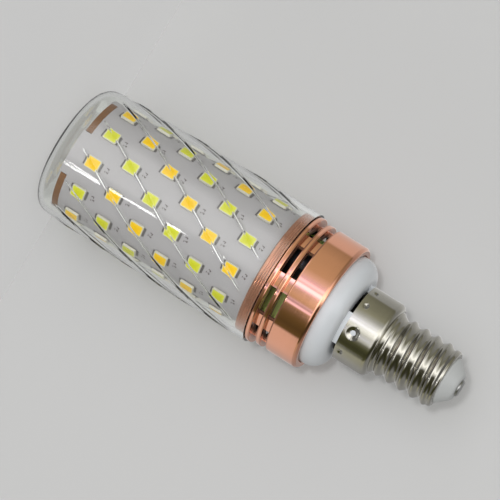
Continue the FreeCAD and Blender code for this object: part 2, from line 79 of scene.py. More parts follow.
class Socket:
    """One output of a node graph; arithmetic on it adds Math nodes."""

    def __init__(self, graph: "Graph", link: bpy.types.NodeSocket) -> None:
        """Keep the graph and Blender's output socket."""
        self.graph = graph
        self.link = link

    def math(self, operation: str, *others: Value) -> "Socket":
        """Result of a Math node on this output.

        Args:
            operation: Blender's name of the operation.
            others: Further operands in order.

        Returns:
            The node's output.
        """
        inputs = dict(enumerate((self, *others)))
        return self.graph.node("ShaderNodeMath", {"operation": operation}, inputs)

    def __add__(self, other: Value) -> "Socket":
        """Sum."""
        return self.math("ADD", other)

    def __sub__(self, other: Value) -> "Socket":
        """Difference."""
        return self.math("SUBTRACT", other)

    def __rsub__(self, other: Value) -> "Socket":
        """Difference from a number."""
        return self.math("MULTIPLY_ADD", -1.0, other)

    def __mul__(self, other: Value) -> "Socket":
        """Product."""
        return self.math("MULTIPLY", other)

    def __truediv__(self, other: Value) -> "Socket":
        """Quotient."""
        return self.math("DIVIDE", other)

    def step(self, low: float, high: float) -> "Socket":
        """Smooth rise from 0 at the low value to 1 at the high one."""
        settings = {"interpolation_type": "SMOOTHSTEP"}
        return self.graph.node("ShaderNodeMapRange", settings, {0: self, 1: low, 2: high})


class Graph:
    """Node graph of a material or of the world."""

    def __init__(self, owner: Union[bpy.types.Material, bpy.types.World]) -> None:
        """Start an empty graph.

        Args:
            owner: Material or world whose nodes are made.
        """
        owner.use_nodes = True
        self.tree = owner.node_tree
        self.tree.nodes.clear()

    def node(
        self,
        kind: str,
        settings: dict[str, Any] | None = None,
        inputs: dict[Any, Any] | None = None,
        output: Union[int, str] = 0,
    ) -> Socket:
        """Add any node.

        Args:
            kind: Blender's type name of the node.
            settings: Properties of the node, set first; "stops" fills a colour ramp.
            inputs: Value or Socket of each input, by name or number.
            output: Name or number of the output that is handed back.

        Returns:
            The chosen output.
        """
        made = self.tree.nodes.new(kind)
        for name, value in (settings or {}).items():
            if name == "stops":
                self._fill_ramp(made.color_ramp, value)
            else:
                setattr(made, name, value)
        for name, value in (inputs or {}).items():
            if isinstance(value, Socket):
                self.tree.links.new(value.link, made.inputs[name])
            else:
                made.inputs[name].default_value = value
        return Socket(self, made.outputs[output] if made.outputs else None)

    @staticmethod
    def _fill_ramp(ramp: bpy.types.ColorRamp, stops: Sequence[tuple[float, Colour]]) -> None:
        """Give a ramp its stops.

        Args:
            ramp: Ramp of a new node, with its two default stops.
            stops: Place and colour of each stop, in order.
        """
        while len(ramp.elements) < len(stops):
            ramp.elements.new(1.0)
        for element, (place, colour) in zip(ramp.elements, stops):
            element.position = place
            element.color = (*colour, 1.0)

    def place(self) -> Socket:
        """Object coordinates of the surface, in metres."""
        return self.node("ShaderNodeTexCoord", output="Object")

    def axis(self, vector: Socket, name: str) -> Socket:
        """One component of a vector, X, Y or Z."""
        return self.node("ShaderNodeSeparateXYZ", inputs={0: vector}, output=name)

    def share(self, name: str) -> Socket:
        """The mesh's own share of that name."""
        return self.node("ShaderNodeAttribute", {"attribute_name": name}, output="Fac")

    def ray(self, name: str) -> Socket:
        """What the Light Path node says of the ray, by the name of its output."""
        return self.node("ShaderNodeLightPath", output=name)

    def noise(self, scale: float, detail: float, vector: Socket | None = None) -> Socket:
        """Soft noise in space.

        Args:
            scale: Waves in a metre.
            detail: Octaves.
            vector: Place to read, the object coordinates if none is given.

        Returns:
            Noise level, about 0.5 in the mean.
        """
        inputs = {"Vector": vector or self.place(), "Scale": scale, "Detail": detail}
        return self.node("ShaderNodeTexNoise", inputs=inputs)

    def mix(self, share: Value, first: Any, second: Any) -> Socket:
        """Colour between two colours.

        Args:
            share: 0 gives the first colour and 1 the second.
            first: Colour or Socket.
            second: Colour or Socket.

        Returns:
            The mixed colour.
        """
        colours = [c if isinstance(c, Socket) else (*c, 1.0) for c in (first, second)]
        inputs = {0: share, 6: colours[0], 7: colours[1]}
        return self.node("ShaderNodeMix", {"data_type": "RGBA"}, inputs, 2)

    def blend(self, share: Value, first: Socket, second: Socket) -> Socket:
        """Shader between two shaders: share 0 gives the first and 1 the second."""
        return self.node("ShaderNodeMixShader", inputs={0: share, 1: first, 2: second})

    def bump(self, height: Socket, depth: float) -> Socket:
        """Normal of a surface with a relief from 0 to 1 that is so many metres deep."""
        return self.node("ShaderNodeBump", inputs={"Height": height, "Distance": depth})

    def finish_surface(self, shader: Socket) -> None:
        """Link a shader to the material's output."""
        self.node("ShaderNodeOutputMaterial", inputs={"Surface": shader})


@dataclass(frozen=True)
class Finish:
    """A finish with a mottled colour and roughness, and a fine moulded grain.

    The colour and roughness swing by small shares over patches of the given size.
    """

    name: str
    colour: Colour
    roughness: float
    metallic: float = 0.0
    mottle: float = 0.06
    patch: float = 6.0
    drift: float = 0.2
    drift_patch: float = 0.6
    grain: float = 0.0
    grain_size: float = 0.15
    coat: float = 0.0
    specular: float = 0.5

    def material(self) -> bpy.types.Material:
        """Make the material.

        Returns:
            A material that follows the finish.
        """
        made = bpy.data.materials.new(self.name)
        graph = Graph(made)
        graph.finish_surface(self.shader(graph))
        return made

    def shader(self, graph: Graph) -> Socket:
        """Shader of the whole surface."""
        return graph.node("ShaderNodeBsdfPrincipled", inputs=self.inputs(graph))

    def inputs(self, graph: Graph) -> dict[str, Any]:
        """Inputs of the Principled shader.

        Args:
            graph: Graph of the material.

        Returns:
            Value or Socket of each input, by name.
        """
        inputs = {
            "Base Color": self.base(graph),
            "Roughness": self.gloss(graph),
            "Metallic": self.metal(graph),
            "Coat Weight": self.coat,
            "Specular IOR Level": self.specular,
        }
        relief = self.relief(graph)
        return inputs if relief is None else {**inputs, "Normal": relief}

    def mottled(self, graph: Graph, low: float, high: float) -> Socket:
        """Colour that drifts in patches between two shares of itself."""
        dark, light = (tuple(min(1.0, level * part) for level in self.colour) for part in (low, high))
        return graph.mix(graph.noise(1 / (self.patch * MM), PATCH_OCTAVES), dark, light)

    def base(self, graph: Graph) -> Socket:
        """Colour that drifts a little darker and lighter in patches."""
        return self.mottled(graph, 1 - self.mottle, 1 + self.mottle)

    def gloss(self, graph: Graph) -> Socket:
        """Roughness that drifts down and up in patches."""
        swing = graph.noise(1 / (self.patch * MM * self.drift_patch), PATCH_OCTAVES)
        return swing * (2 * self.drift * self.roughness) + (1 - self.drift) * self.roughness

    def metal(self, graph: Graph) -> Value:
        """Share of metal in the surface."""
        return self.metallic

    def relief(self, graph: Graph) -> Socket | None:
        """Normal with the fine grain.

        Args:
            graph: Graph of the material.

        Returns:
            The bent normal, or None for a finish without grain.
        """
        if self.grain <= 0:
            return None
        return graph.bump(graph.noise(1 / (self.grain_size * MM), SOFT_OCTAVES), self.grain * MM)


@dataclass(frozen=True)
class PlatedMetal(Finish):
    """Plated metal with fine turning lines round the lamp's axis and faint smears."""

    metallic: float = 1.0
    line_pitch: float = 0.12
    line_depth: float = 0.0012

    def relief(self, graph: Graph) -> Socket:
        """Turning lines: noise that varies along the axis only.

        Args:
            graph: Graph of the material.

        Returns:
            The bent normal.
        """
        height = graph.axis(graph.place(), "Z")
        along = graph.node("ShaderNodeCombineXYZ", inputs={"Z": height})
        lines = graph.noise(1 / (self.line_pitch * MM), PATCH_OCTAVES, along)
        return graph.bump(lines, self.line_depth * MM)


@dataclass(frozen=True)
class PlatedMoulding(PlatedMetal):
    """Moulding that is plated outside only; the mesh's own inside share shows dark bare plastic, graded
    darker towards the bore as painted shade.
    """

    bare: Colour = (0.0, 0.0, 0.0)
    bare_roughness: float = 0.5

    def base(self, graph: Graph) -> Socket:
        """Plating outside, and inside a dark colour that is bare plastic and painted shade."""
        return graph.mix(graph.share("inside"), super().base(graph), self.bare)

    def gloss(self, graph: Graph) -> Socket:
        """Roughness that rises with the inside share."""
        return super().gloss(graph) + graph.share("inside") * self.bare_roughness

    def metal(self, graph: Graph) -> Socket:
        """Metal outside only."""
        return 1 - graph.share("inside")


@dataclass(frozen=True)
class ClearPlastic(Finish):
    """Clear moulded plastic that bends what is seen through it and lets the light in."""

    index: float = 1.49

    def inputs(self, graph: Graph) -> dict[str, Any]:
        """Inputs of a shader that lets all light through."""
        return {**super().inputs(graph), "Transmission Weight": 1.0, "IOR": self.index}

    def shader(self, graph: Graph) -> Socket:
        """Clear shader; light on its way to the pieces inside goes straight through.

        Args:
            graph: Graph of the material.

        Returns:
            The mixed shader.
        """
        open_way = graph.node("ShaderNodeBsdfTransparent", inputs={"Color": (*self.colour, 1.0)})
        straight = graph.ray("Is Shadow Ray").math("MAXIMUM", graph.ray("Is Diffuse Ray"))
        return graph.blend(straight, super().shader(graph), open_way)


@dataclass(frozen=True)
class SatinCrest(Finish):
    """Painted highlight on a rib's crest: a white satin strip that mirrors the lights, as dense as the
    mesh's own painted glint share.
    """

    metallic: float = 0.92

    def inputs(self, graph: Graph) -> dict[str, Any]:
        """Inputs with an alpha that follows the painted glint share."""
        return {**super().inputs(graph), "Alpha": graph.share("painted_glint")}


@dataclass(frozen=True)
class DippedBoard(Finish):
    """Board whose end over a height takes a dark colour: painted shade where it shows through the windows
    under the cap.
    """

    resin: Colour = (0.0, 0.0, 0.0)
    resin_start: float = 0.0
    resin_edge: float = 0.5

    def base(self, graph: Graph) -> Socket:
        """Board colour below the shade's edge, and the dark painted shade over it.

        Args:
            graph: Graph of the material.

        Returns:
            The mixed colour.
        """
        height = graph.axis(graph.place(), "Z") / MM
        shaded_end = height.step(self.resin_start, self.resin_start + self.resin_edge)
        return graph.mix(shaded_end, super().base(graph), self.resin)


@dataclass(frozen=True)
class Phosphor(Finish):
    """Phosphor in silicone: paler at the rim of each cell, with a soft speckle."""

    rim: Colour = (1.0, 1.0, 1.0)

    def base(self, graph: Graph) -> Socket:
        """Body colour to rim colour by the mesh's own rim share, with a fine speckle."""
        return graph.mix(graph.share("rim"), self.mottled(graph, 1 - self.mottle, 1.0), self.rim)


class Tone(Enum):
    """Colours of the lamp's finishes, as linear levels."""

    SHEET = srgb(173, 169, 176)
    INK = srgb(88, 78, 80)
    LAMINATE = srgb(122, 86, 58)
    ROSE_GOLD = srgb(232, 168, 138)
    # Dark inside of the collar: bare plastic, darkened as painted shade.
    BARE = srgb(38, 32, 28)
    WHITE = srgb(188, 191, 195)
    NICKEL = srgb(178, 175, 165)
    TIP = srgb(168, 170, 170)
    CONTACT = srgb(164, 164, 162)
    GREEN = srgb(172, 203, 82)
    SLEEVE = srgb(24, 24, 28)
    FILM = srgb(212, 222, 124)
    # Black chip resin, also the painted shade on the board's end.
    RESIN = srgb(26, 26, 27)
    LACQUER = srgb(88, 122, 140)
    RED = srgb(168, 30, 26)
    BLACK = srgb(22, 22, 22)
    TERMINAL = srgb(104, 100, 102)
    CASE = srgb(206, 202, 190)
    WARM = srgb(252, 200, 6)
    WARM_RIM = srgb(250, 214, 70)
    COOL = srgb(212, 212, 40)
    COOL_RIM = srgb(222, 224, 100)
    CLEAR = (0.97, 0.98, 0.955)
    # White of the painted highlight strips on the rib crests.
    CREST = srgb(250, 250, 250)
    FLOOR = srgb(188, 188, 188)
    BACKDROP = srgb(186, 186, 186)


FINISHES: tuple[Finish, ...] = (
    ClearPlastic("clear_plastic", Tone.CLEAR.value, 0.02, mottle=0.0),
    # Rib crest strips: a painted highlight that mirrors the lights and fades out over the LEDs.
    SatinCrest("rib_painted_glint", Tone.CREST.value, 0.26, mottle=0.02),
    Finish("sheet_mask", Tone.SHEET.value, 0.42, mottle=0.03, grain=0.003),
    Finish("sheet_ink", Tone.INK.value, 0.6),
    Finish("brown_laminate", Tone.LAMINATE.value, 0.6, mottle=0.2, patch=1.5, grain=0.02),
    PlatedMoulding("rose_gold_plate", Tone.ROSE_GOLD.value, 0.055, mottle=0.03, bare=Tone.BARE.value),
    Finish("white_plastic", Tone.WHITE.value, 0.24, mottle=0.02, grain=0.004),
    PlatedMetal("nickel_plate", Tone.NICKEL.value, 0.09, mottle=0.08, patch=3.0),
    Finish("grey_plastic", Tone.TIP.value, 0.4, mottle=0.04, grain=0.004),
    PlatedMetal("contact_metal", Tone.CONTACT.value, 0.3),
    # The board's end in the cap takes the dark resin colour as painted shade.
    DippedBoard(
        "green_board", Tone.GREEN.value, 0.35, mottle=0.1, patch=2.0,
        resin=Tone.RESIN.value, resin_start=66.5,
    ),
    Finish("can_sleeve", Tone.SLEEVE.value, 0.3, coat=0.3),
    Finish("film_case", Tone.FILM.value, 0.45, grain=0.01),
    Finish("chip_resin", Tone.RESIN.value, 0.6, grain=0.01),
    Finish("resistor_lacquer", Tone.LACQUER.value, 0.3, coat=0.4),
    Finish("red_insulation", Tone.RED.value, 0.45),
    Finish("black_insulation", Tone.BLACK.value, 0.45),
    Finish("led_terminal", Tone.TERMINAL.value, 0.45, mottle=0.25, patch=0.5),
    Finish("led_case", Tone.CASE.value, 0.5, mottle=0.04, grain=0.003),
    Phosphor(
        "warm_phosphor", Tone.WARM.value, 0.4, mottle=0.12, patch=0.4,
        specular=0.15, rim=Tone.WARM_RIM.value,
    ),
    Phosphor(
        "cool_phosphor", Tone.COOL.value, 0.4, mottle=0.1, patch=0.4,
        specular=0.15, rim=Tone.COOL_RIM.value,
    ),
)
MATERIALS = {finish.name: finish.material() for finish in FINISHES}


@dataclass
class Shell:
    """Vertices and faces of a piece, in millimetres."""

    points: np.ndarray
    faces: list[np.ndarray]
    shares: dict[str, np.ndarray] = field(default_factory=dict)

    def volume(self) -> float:
        """Signed volume: the sum of the tetrahedra from the origin to each fan triangle.

        Returns:
            Volume in cubic millimetres, negative where the faces look inwards.
        """
        total = 0.0
        for group in self.faces:
            corners = self.points[group]
            for last in range(2, group.shape[1]):
                first, second, third = corners[:, 0], corners[:, last - 1], corners[:, last]
                total += float(np.einsum("ij,ij->i", first, np.cross(second, third)).sum()) / 6
        return total

    def outward(self) -> "Shell":
        """The same shell with its faces turned outwards.

        Returns:
            This shell, or a turned one.
        """
        if self.volume() >= 0:
            return self
        return Shell(self.points, [group[:, ::-1] for group in self.faces], self.shares)


def joined(shells: Sequence[Shell]) -> Shell:
    """Several shells as one.

    Args:
        shells: Shells to put together, each turned outwards first.

    Returns:
        One shell with all their faces.
    """
    points, faces = [], []
    offset = 0
    for shell in (each.outward() for each in shells):
        points.append(shell.points)
        faces += [group + offset for group in shell.faces]
        offset += len(shell.points)
    return Shell(np.concatenate(points), faces)


def copies(shell: Shell, moved: np.ndarray) -> Shell:
    """Shell of several moved copies of one shell.

    Args:
        shell: Shell whose faces are repeated.
        moved: Vertices of the copies, as copy, vertex and coordinate.

    Returns:
        All copies as one shell.
    """
    count, size = moved.shape[:2]
    offsets = np.arange(count)[:, None, None] * size
    faces = [(group[None] + offsets).reshape(-1, group.shape[1]) for group in shell.faces]
    shares = {name: np.tile(values, count) for name, values in shell.shares.items()}
    return Shell(moved.reshape(-1, 3), faces, shares)


def polar(radius: Any, turn: Any, height: Any) -> np.ndarray:
    """Points x = r cos t, y = r sin t, z = h of arrays that fit together, angles in radians."""
    return np.stack(np.broadcast_arrays(radius * np.cos(turn), radius * np.sin(turn), height), -1)


def swung(turns: np.ndarray, out: Any, across: Any, height: Any) -> np.ndarray:
    """Points turned round the axis: x = u cos t - v sin t, y = u sin t + v cos t, z = h.

    Args:
        turns: Angle of each copy in degrees.
        out: Distance u of each point along the copy's own direction.
        across: Distance v of each point to its left.
        height: Height of each point, or of each point of each copy.

    Returns:
        Vertices as copy, vertex and coordinate.
    """
    cos, sin = np.cos(np.radians(turns))[:, None], np.sin(np.radians(turns))[:, None]
    return np.stack(np.broadcast_arrays(cos * out - sin * across, sin * out + cos * across, height), -1)


def paired(radius: Any, height: Any) -> np.ndarray:
    """Points (radius, height) of two arrays that fit together."""
    return np.stack(np.broadcast_arrays(radius, height), -1)


def arc(middle: tuple[float, float], size: float, start: float, end: float, rows: int) -> np.ndarray:
    """Points (r + s cos t, h + s sin t) round a middle (r, h), between two angles in degrees."""
    turn = np.radians(np.linspace(start, end, rows))
    return paired(middle[0] + size * np.cos(turn), middle[1] + size * np.sin(turn))


def grid_faces(rows: int, columns: int, closed: bool) -> np.ndarray:
    """Quads of a grid of vertices that are numbered row by row, with each row a loop.

    Args:
        rows: Number of rows.
        columns: Number of columns.
        closed: True joins the last row to the first.

    Returns:
        Four vertex numbers for each quad.
    """
    row = np.arange(rows if closed else rows - 1)[:, None] * columns
    column = np.arange(columns)[None, :]
    below, right = (row + columns) % (rows * columns), (column + 1) % columns
    corners = [row + column, row + right, below + right, below + column]
    return np.stack(corners, -1).reshape(-1, 4)


def ring_grid(points: np.ndarray) -> Shell:
    """Closed ring from vertices as rows, columns and coordinates: a loop of rows that are loops."""
    rows, columns = points.shape[:2]
    return Shell(points.reshape(-1, 3), [grid_faces(rows, columns, True)])


def capped_grid(points: np.ndarray) -> Shell:
    """Closed body: stacked loops with a fan to a middle point at both ends.

    Args:
        points: Vertices as rows, columns and coordinates.

    Returns:
        The body's shell.
    """
    rows, columns = points.shape[:2]
    flat = points.reshape(-1, 3)
    ends = np.stack([points[0].mean(0), points[-1].mean(0)])
    here = np.arange(columns)
    ahead = (here + 1) % columns
    first = np.stack([np.full(columns, rows * columns), ahead, here], -1)
    base = (rows - 1) * columns
    last = np.stack([np.full(columns, rows * columns + 1), base + here, base + ahead], -1)
    return Shell(np.concatenate([flat, ends]), [grid_faces(rows, columns, False), first, last])


def tube_grid(points: np.ndarray) -> Shell:
    """Closed bar whose rows go round its section, with both end loops filled."""
    return capped_grid(np.swapaxes(points, 0, 1))


def rounded(corners: Sequence[Corner], steps: int = 5, straight: float = 89.0,
            support_share: float = 0.25) -> np.ndarray:
    """Closed outline with round corners and a support point beside each corner.

    Each corner with sides at half angle a is replaced by an arc of its radius r that starts
    r / tan(a) from the corner along both sides.

    Args:
        corners: Radius from the axis, height and corner radius of each corner, in order.
        steps: Points on each arc.
        straight: Half angle in degrees over which a corner stays as it is.
        support_share: Share of the shorter side that a support point keeps from its arc at most.

    Returns:
        Points (radius, height) of the outline.
    """
    spots = np.array([corner[:2] for corner in corners], float)
    pieces = []
    for index, corner in enumerate(corners):
        here = spots[index]
        back = spots[index - 1] - here
        ahead = spots[(index + 1) % len(spots)] - here
        back_length, ahead_length = np.linalg.norm(back), np.linalg.norm(ahead)
        back, ahead = back / back_length, ahead / ahead_length
        half = math.acos(float(np.clip(back @ ahead, -1, 1))) / 2
        radius = corner[2]
        if radius <= 0 or half > math.radians(straight):
            pieces.append(here[None])
            continue
        setback = radius / math.tan(half)
        middle = (back + ahead) / np.linalg.norm(back + ahead)
        centre = here + middle * radius / math.sin(half)
        first, last = here + back * setback - centre, here + ahead * setback - centre
        share = np.linspace(0, 1, steps)[:, None]
        sweep = math.pi - 2 * half
        bow = (np.sin((1 - share) * sweep) * first + np.sin(share * sweep) * last) / math.sin(sweep)
        reach = setback + min(radius, support_share * min(back_length, ahead_length))
        before, after = here + back * reach, here + ahead * reach
        keep_before, keep_after = reach < back_length / 2, reach < ahead_length / 2
        pieces += [before[None]] * keep_before + [centre + bow] + [after[None]] * keep_after
    return np.concatenate(pieces)


def spun(outline: np.ndarray, columns: int = 192, start: float = 0.0, sweep: float = 360.0) -> np.ndarray:
    """Outline carried round the axis.

    Args:
        outline: Points (radius, height).
        columns: Steps round the axis.
        start: First angle in degrees.
        sweep: Angle that is covered in degrees; 360 leaves out the last, doubled column.

    Returns:
        Vertices as rows, columns and coordinates.
    """
    angles = np.radians(start + np.linspace(0, sweep, columns, endpoint=sweep < 360))
    return polar(outline[:, :1], angles, outline[:, 1:])


def turned_ring(corners: Sequence[Corner], steps: int = 5) -> Shell:
    """Ring turned from an outline with round corners."""
    return ring_grid(spun(rounded(corners, steps)))


def sector(radii: tuple[float, float], heights: tuple[float, float], middle: float, width: float,
           edge: float, steps: int = 3, columns: int = 12) -> Shell:
    """Piece of a ring with round edges.

    Args:
        radii: Inner and outer radius.
        heights: Lowest and highest height.
        middle: Angle of its middle in degrees.
        width: Angle that it covers in degrees.
        edge: Radius of its long edges.
        steps: Points on each edge's arc.
        columns: Steps round the axis.

    Returns:
        The piece's shell.
    """
    (inner, outer), (low, high) = radii, heights
    spots = [(inner, low), (outer, low), (outer, high), (inner, high)]
    outline = rounded([(*spot, edge) for spot in spots], steps)
    return tube_grid(spun(outline, columns, middle - width / 2, width))


def make_piece(name: str, shell: Shell, slot: str, nodes: Sequence[str] = (), finish: str | None = None,
               sharp: float = 35.0) -> None:
    """Put a shell into the scene as a piece of the lamp.

    Args:
        name: Name of the piece.
        shell: Its vertices and faces.
        slot: Material slot of the record that it takes its finish from.
        nodes: CAD nodes that it stands for.
        finish: Name of its finish where that isn't the slot's.
        sharp: Angle in degrees over which an edge stays sharp.
    """
    shell = shell.outward()
    mesh = bpy.data.meshes.new(name)
    faces = [face for group in shell.faces for face in group.tolist()]
    mesh.from_pydata((shell.points * MM).tolist(), [], faces)
    mesh.validate()
    mesh.polygons.foreach_set("use_smooth", np.ones(len(mesh.polygons), bool))
    mesh.set_sharp_from_angle(angle=math.radians(sharp))
    for share, values in shell.shares.items():
        mesh.attributes.new(share, "FLOAT", "POINT").data.foreach_set("value", values.astype(np.float32))
    mesh.materials.append(MATERIALS[finish or slot])
    mesh.update()
    piece = bpy.data.objects.new(name, mesh)
    bpy.context.collection.objects.link(piece)
    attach(piece, "root")
    if nodes:
        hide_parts(*nodes)
    LOG.info("%s: %d faces", name, len(mesh.polygons))


def span(node: str) -> tuple[float, float]:
    """Lowest and highest height of a CAD node in millimetres."""
    low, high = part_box(node)
    return low[2] / MM, high[2] / MM


@dataclass
class LedLayout:
    """Places of the LED strings on the sheet."""

    rings: int = 6
    strings: int = 12
    first_height: float = 9.4
    pitch: float = 7.2
    twist: float = 15.0
    first_angle: float = -90.0

    def turn_at(self, height: np.ndarray) -> np.ndarray:
        """Angle in degrees of the first string at a height."""
        return self.first_angle + (height - self.first_height) / self.pitch * self.twist

    def turns(self) -> np.ndarray:
        """Angle in degrees from the first string to each one."""
        return np.arange(self.strings) * 360 / self.strings

    def places(self, strings: Sequence[int]) -> tuple[np.ndarray, np.ndarray]:
        """Angles in degrees and heights of all LEDs of some strings.

        Args:
            strings: Numbers of the strings.

        Returns:
            Angles and heights, one each for every LED.
        """
        string, ring = np.meshgrid(np.array(list(strings)), np.arange(self.rings), indexing="ij")
        heights = self.first_height + ring.ravel() * self.pitch
        return self.turn_at(heights) + string.ravel() * 360 / self.strings, heights


@dataclass
class ClearCover:
    """Closed clear tube with draft, a round head and a helical rib over each LED string."""

    layout: LedLayout
    head_bore: float = 13.67
    wall: float = 1.0
    draft: float = 0.55
    corner: float = 3.2
    corner_rows: int = 12
    head_rows: int = 6
    head_hole: float = 0.12
    outer_rows: int = 130
    inner_rows: int = 60
    rib_width: float = 0.7
    rib_proud: float = 0.22
    rib_start: float = 6.0
    rib_end: float = 49.8
    rib_fade: float = 1.6
    rib_columns: int = 9
    plain_columns: int = 15
    # Crest strips: a painted highlight along each rib, cleared over each LED and blended in between.
    crest_width: float = 0.46
    crest_lift: float = 0.008
    crest_foot: float = 0.2
    crest_frost: float = 0.85
    crest_clear: float = 1.5
    crest_blend: float = 0.7
    crest_steps: int = 220

    def columns(self) -> tuple[np.ndarray, np.ndarray]:
        """Angles round the cover, close together on the ribs.

        Returns:
            Angles in degrees from the first string, and the rib's share of height at each.
        """
        step = 360 / self.layout.strings
        half = math.degrees(self.rib_width / 2 / (self.head_bore + self.wall))
        on_rib = np.linspace(-half, half, self.rib_columns)
        between = np.linspace(half, step - half, self.plain_columns + 2)[1:-1]
        angles = np.concatenate([on_rib, between])
        lift = np.where(np.abs(angles) <= half, 0.5 + 0.5 * np.cos(np.pi * angles / half), 0.0)
        return (self.layout.turns()[:, None] + angles).ravel(), np.tile(lift, self.layout.strings)

    def shell(self) -> Shell:
        """Rows run from the head's middle up the outside, over the rim and down the inside.

        A row at height z is turned by the strings' twist, so that columns follow the ribs.

        Returns:
            The cover's shell.
        """
        length = span("clear_cover")[1]
        outer = self.head_bore + self.wall
        disc = outer - self.corner
        middle = (disc, self.corner)
        flat = np.linspace(self.head_hole, 1.0, self.head_rows)[:-1] * disc
        rise = np.linspace(self.corner, length, self.outer_rows)[1:]
        fall = np.linspace(length, self.corner, self.inner_rows)
        inner_flat = np.linspace(1.0, self.head_hole, self.head_rows - 1)[1:] * disc
        radius, height = np.concatenate([
            paired(flat, 0.0),
            arc(middle, self.corner, -90, 0, self.corner_rows),
            paired(outer + self.draft * rise / length, rise),
            paired(outer - self.wall + self.draft * fall / length, fall),
            arc(middle, self.corner - self.wall, 0, -90, self.corner_rows)[1:],
            paired(inner_flat, self.wall),
        ]).T
        first = len(flat) + self.corner_rows
        wall_rows = slice(first, first + len(rise))
        fade = np.zeros(len(height))
        risen = np.clip((height[wall_rows] - self.rib_start) / self.rib_fade, 0, 1)
        left = np.clip((self.rib_end - height[wall_rows]) / self.rib_fade, 0, 1)
        fade[wall_rows] = risen * left
        angles, lift = self.columns()
        row_turn = self.layout.turn_at(np.clip(height, self.rib_start, self.rib_end))
        turn = np.radians(row_turn[:, None] + angles[None, :])
        reach = radius[:, None] + self.rib_proud * fade[:, None] * lift[None, :]
        return capped_grid(polar(reach, turn, height[:, None]))

    def crests(self) -> Shell:
        """Thin strip along each rib: four corners carried up the rib, which are raised off its crest.

        The strip is a painted highlight: its glint share rises with the distance along the rib from the
        nearest LED's middle.

        Returns:
            All strips as one shell.
        """
        length = span("clear_cover")[1]
        heights = np.linspace(self.rib_start, self.rib_end, self.crest_steps)
        to_end = np.minimum(heights - self.rib_start, self.rib_end - heights)
        fade = np.clip(to_end / self.rib_fade, 0, 1)
        radius = self.head_bore + self.wall + self.draft * heights / length + self.rib_proud * fade
        half = self.crest_width / 2
        across = np.array([-half, half, half, -half])[:, None]
        lift = np.array([self.crest_foot, self.crest_foot, 1.0, 1.0])[:, None] * self.crest_lift
        sink = 0.5 - 0.5 * np.cos(np.pi * self.crest_width / self.rib_width)
        reach = radius - self.rib_proud * fade * sink + lift
        turn = np.radians(self.layout.turn_at(heights)) + across / radius
        bar = tube_grid(polar(reach, turn, heights))
        pitch = self.layout.pitch
        off_led = np.abs((heights - self.layout.first_height + pitch / 2) % pitch - pitch / 2)
        painted_glint = self.crest_frost * np.clip((off_led - self.crest_clear) / self.crest_blend, 0, 1) * fade
        bar.shares["painted_glint"] = np.concatenate([np.repeat(painted_glint, 4), painted_glint[[0, -1]]])
        return copies(bar.outward(), swung(self.layout.turns(), *bar.points.T))

    def build(self) -> None:
        """Make the cover and the painted highlight strips on its ribs."""
        make_piece("clear_cover_shell", self.shell(), "clear_plastic", ["clear_cover"])
        # Painted highlight: a satin strip on each rib's crest.
        make_piece("cover_rib_painted_glints", self.crests(), "clear_plastic", finish="rib_painted_glint")


